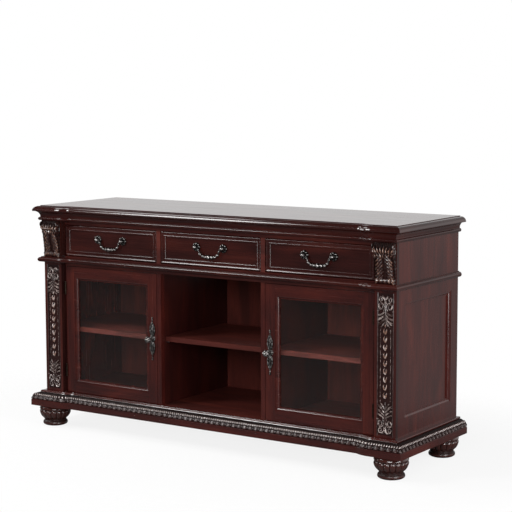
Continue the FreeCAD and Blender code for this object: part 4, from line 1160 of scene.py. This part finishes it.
def plate_shells(centre, up):
    """One half of the plate: two bowed arms with leaves round an open loop, a stem, and balls on it."""
    shells = []

    def carried(line, width, height, section=ROUND):
        flat = np.full(len(line), centre[1] - PLATE_FORWARD)
        path = np.stack([centre[0] + line[:, 0], flat, centre[2] + line[:, 1]], axis=-1)
        rings, crest = sweep(path, width * MM, height * MM, OUT, section)
        shells.append((rings, PLATE_WEAR * crest))
    for mirror in (-1, 1):
        flip = np.array([mirror, up])
        arm = smooth_curve(LOOP_KNOTS, ARM_POINTS) * flip * MM
        fat = ARM_LEAST + ARM_SWELL * np.abs(np.sin(np.linspace(0.2, 4 * np.pi - 0.1, len(arm))))
        carried(arm, fat, 1.1 * fat)
        for start, heading in LOOP_LEAVES:
            leaf = scroll_line(np.array(start) * MM, heading, LOOP_LEAF_LENGTH * MM, *LOOP_LEAF_BENDS,
                               LOOP_LEAF_POINTS)
            fat = leaf_taper(len(leaf))
            carried(leaf * flip, LOOP_LEAF_WIDTH * fat, LOOP_LEAF_HEIGHT * fat)
    fat = leaf_taper(PLATE_STEM_POINTS)
    stem = np.stack([0 * fat, up * np.linspace(*PLATE_STEM, len(fat))], axis=-1) * MM
    carried(stem, PLATE_STEM_WIDTH * fat, PLATE_STEM_HEIGHT * fat, VEINED)
    z = np.linspace(*FINIAL_SPAN, FINIAL_POINTS)
    balls = [size * dome(((z - place) / size) ** 2) for place, size in FINIALS[up]]
    wire = FINIAL_WIRE * np.clip((FINIAL_TIP - z) / 2, 0.1, 1)
    radius = np.max([wire] + balls, axis=0)
    carried(np.stack([0 * z, up * z], axis=-1) * MM, radius, 0.8 * radius)
    return shells


for side in ("left", "right"):
    _, high, middle = node_box("door_pull_" + side)
    centre = np.array([middle[0], high[1], middle[2]])
    shells = plate_shells(centre, 1) + plate_shells(centre, -1)
    shells += [flower(centre, BOSS, petals=10, notch=0.12, groove=1.4 * MM),
               flower(centre, KNOB, petals=8, notch=0.14, groove=2.0 * MM)]
    pull = make_piece("pull_" + side, shells, antique_metal, "door_" + side, SMOOTH_CREASE)
    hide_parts("door_pull_" + side)

# %% [markdown]
# ## Camera
# The photograph was solved for its camera: the edges of the top, waist and plinth meet at vanishing
# points, which give the angle, the lens and the distance. The same camera here makes the render
# comparable.

# %% Camera
CAMERA_PLACE = (3.2787, -4.7336, 1.3623)
CAMERA_AZIMUTH = math.radians(34.08)
CAMERA_ELEVATION = math.radians(6.61)
CAMERA_ROLL = math.radians(-0.16)
CAMERA_LENS, CAMERA_SENSOR, CAMERA_END = 109.32, 36.0, 50.0

camera_data = bpy.data.cameras.new("camera")
camera_data.lens = CAMERA_LENS
camera_data.sensor_width = CAMERA_SENSOR
camera_data.clip_end = CAMERA_END
camera = add_object("camera", camera_data)
camera.location = CAMERA_PLACE
aim = Euler((math.pi / 2 - CAMERA_ELEVATION, 0.0, CAMERA_AZIMUTH)).to_matrix()
camera.rotation_euler = (aim @ Matrix.Rotation(CAMERA_ROLL, 3, "Z")).to_euler()
bpy.context.scene.camera = camera
bpy.context.scene.view_settings.view_transform = "Standard"
print("camera at", CAMERA_PLACE)

# %% [markdown]
# ## Floor, world and lamps
# A cabinet photographed in a studio stands on a pale sweep of paper, with soft boxes above and in front.
# The floor is an oval that fades out at its rim, and the world is white to the eye, straight or through
# glass. Gloss sees a pale wall behind the stand, dimmer low down and most of all at its left, and a dark
# room over a less dark floor on the camera's side, and that keeps the lacquer deep.

# %% Floor
FLOOR_RADIUS, FLOOR_FADE, FLOOR_NARROW = 2.0, 1.0, 0.68
FLOOR_POINTS = 96
PAPER_WHITE, PAPER_GREY = (*grey(0.92), 1), (*grey(0.18), 1)
SHADOW_LIFT = 0.85
WHITE = (1, 1, 1, 1)


def seen_ray(tree):
    """1 for what the eye sees, straight or through glass, but not in a mirror."""
    ray = add(tree, "LightPath").outputs
    unmirrored = calc(tree, "LESS_THAN", ray["Glossy Depth"], 0.5)
    through = calc(tree, "MULTIPLY", ray["Is Transmission Ray"], unmirrored)
    return calc(tree, "MAXIMUM", ray["Is Camera Ray"], through)


def floor_finish():
    """Paper that keeps a soft shadow and fades to nothing towards the rim of the oval.

    To the eye it is mostly as white as the world behind it; to other rays it is a plain grey sheet.
    """
    finish, tree = new_finish("floor_paper")
    seen = seen_ray(tree)
    oval = add(tree, "Mapping", {"Vector": object_place(tree), "Scale": (1, 1 / FLOOR_NARROW, 1)}).outputs[0]
    distance = add(tree, "VectorMath", {0: oval}, operation="LENGTH").outputs["Value"]
    fade = remap(tree, distance, (FLOOR_FADE, FLOOR_RADIUS), (0.0, 1.0), interpolation_type="SMOOTHSTEP")
    paper = add(tree, "BsdfDiffuse", {"Color": colour_mix(tree, seen, PAPER_GREY, PAPER_WHITE)})
    white = add(tree, "Emission", {"Color": WHITE, "Strength": 1.0})
    sheet = shader_mix(tree, calc(tree, "MULTIPLY", seen, SHADOW_LIFT), paper, white)
    show(tree, shader_mix(tree, fade, sheet, add(tree, "BsdfTransparent")))
    return finish


angle = np.linspace(0, 2 * np.pi, FLOOR_POINTS, endpoint=False)
rim = np.stack([np.cos(angle), FLOOR_NARROW * np.sin(angle), 0 * angle], axis=-1) * FLOOR_RADIUS
floor_mesh = bpy.data.meshes.new("floor")
floor_mesh.from_pydata(rim.tolist(), [], [list(range(len(rim)))])
floor_mesh.materials.append(floor_finish())
floor = add_object("floor", floor_mesh)
print("floor radius", FLOOR_RADIUS)

# %% World
AMBIENT = 0.28
BACK_HIGH, BACK_LOW = 0.80, 0.27
FRONT_ROOM, FRONT_FLOOR = 0.04, 0.15

# Ranges of a direction's x, y and z, over which one part of the studio passes into the next
LEFT_TO_RIGHT, FRONT_TO_BACK = (-0.3, 0.1), (0.15, 0.5)
WALL_FOOT, CEILING, ROOM_FOOT = (-0.12, 0.08), (0.3, 0.6), (-0.2, 0.0)


def make_world():
    """White to the eye, even to matt surfaces, and to gloss a wall behind and a dim room in front."""
    world = bpy.data.worlds.new("studio")
    bpy.context.scene.world = world
    world.use_nodes = True
    tree = world.node_tree
    tree.nodes.clear()
    x, y, z = split(tree, add(tree, "TexCoord").outputs["Generated"])
    wall_low = remap(tree, x, LEFT_TO_RIGHT, (FRONT_ROOM, BACK_LOW))
    wall = remap(tree, z, WALL_FOOT, (wall_low, BACK_HIGH))
    below_ceiling = remap(tree, z, CEILING, (1.0, 0.0))
    behind = remap(tree, y, FRONT_TO_BACK, (0.0, below_ceiling))
    room = remap(tree, z, ROOM_FOOT, (FRONT_FLOOR, FRONT_ROOM))
    gloss = add(tree, "LightPath").outputs["Is Glossy Ray"]
    lit = blend(tree, gloss, AMBIENT, blend(tree, behind, room, wall))
    level = blend(tree, seen_ray(tree), lit, 1.0)
    background = add(tree, "Background", {"Color": WHITE, "Strength": level})
    add(tree, "OutputWorld", {"Surface": background.outputs[0]})


make_world()
print("world level", AMBIENT)

# %% Lamps
# Place, width and height, and power of each soft box
LAMPS = {
    "key": ((-2.1, -2.4, 2.7), (1.0, 1.0), 58.0),
    "left": ((-3.3, -0.8, 1.7), (1.5, 1.3), 30.0),
    "right": ((3.6, -1.6, 0.35), (1.2, 0.6), 25.0),
    "over": ((-1.7, -0.4, 2.9), (0.9, 0.9), 12.0),
    "front": ((2.2, -4.6, 1.8), (2.4, 1.4), 100.0),
    "fill": ((4.0, -0.9, 1.8), (1.8, 1.8), 75.0),
}
LAMP_TARGET = np.array([0.0, 0.0, 0.45])


def make_lamp(name, place, size, power):
    """A soft box that looks at the middle of the stand."""
    data = bpy.data.lights.new(name, "AREA")
    data.shape = "RECTANGLE"
    data.size, data.size_y = size
    data.energy = power
    lamp = add_object(name, data)
    lamp.location = place
    x, y, z = LAMP_TARGET - np.array(place)
    lamp.rotation_euler = (math.atan2(math.hypot(x, y), -z), 0.0, math.atan2(-x, y))


for lamp_name, setting in LAMPS.items():
    make_lamp(lamp_name, *setting)
print("lamps", list(LAMPS))
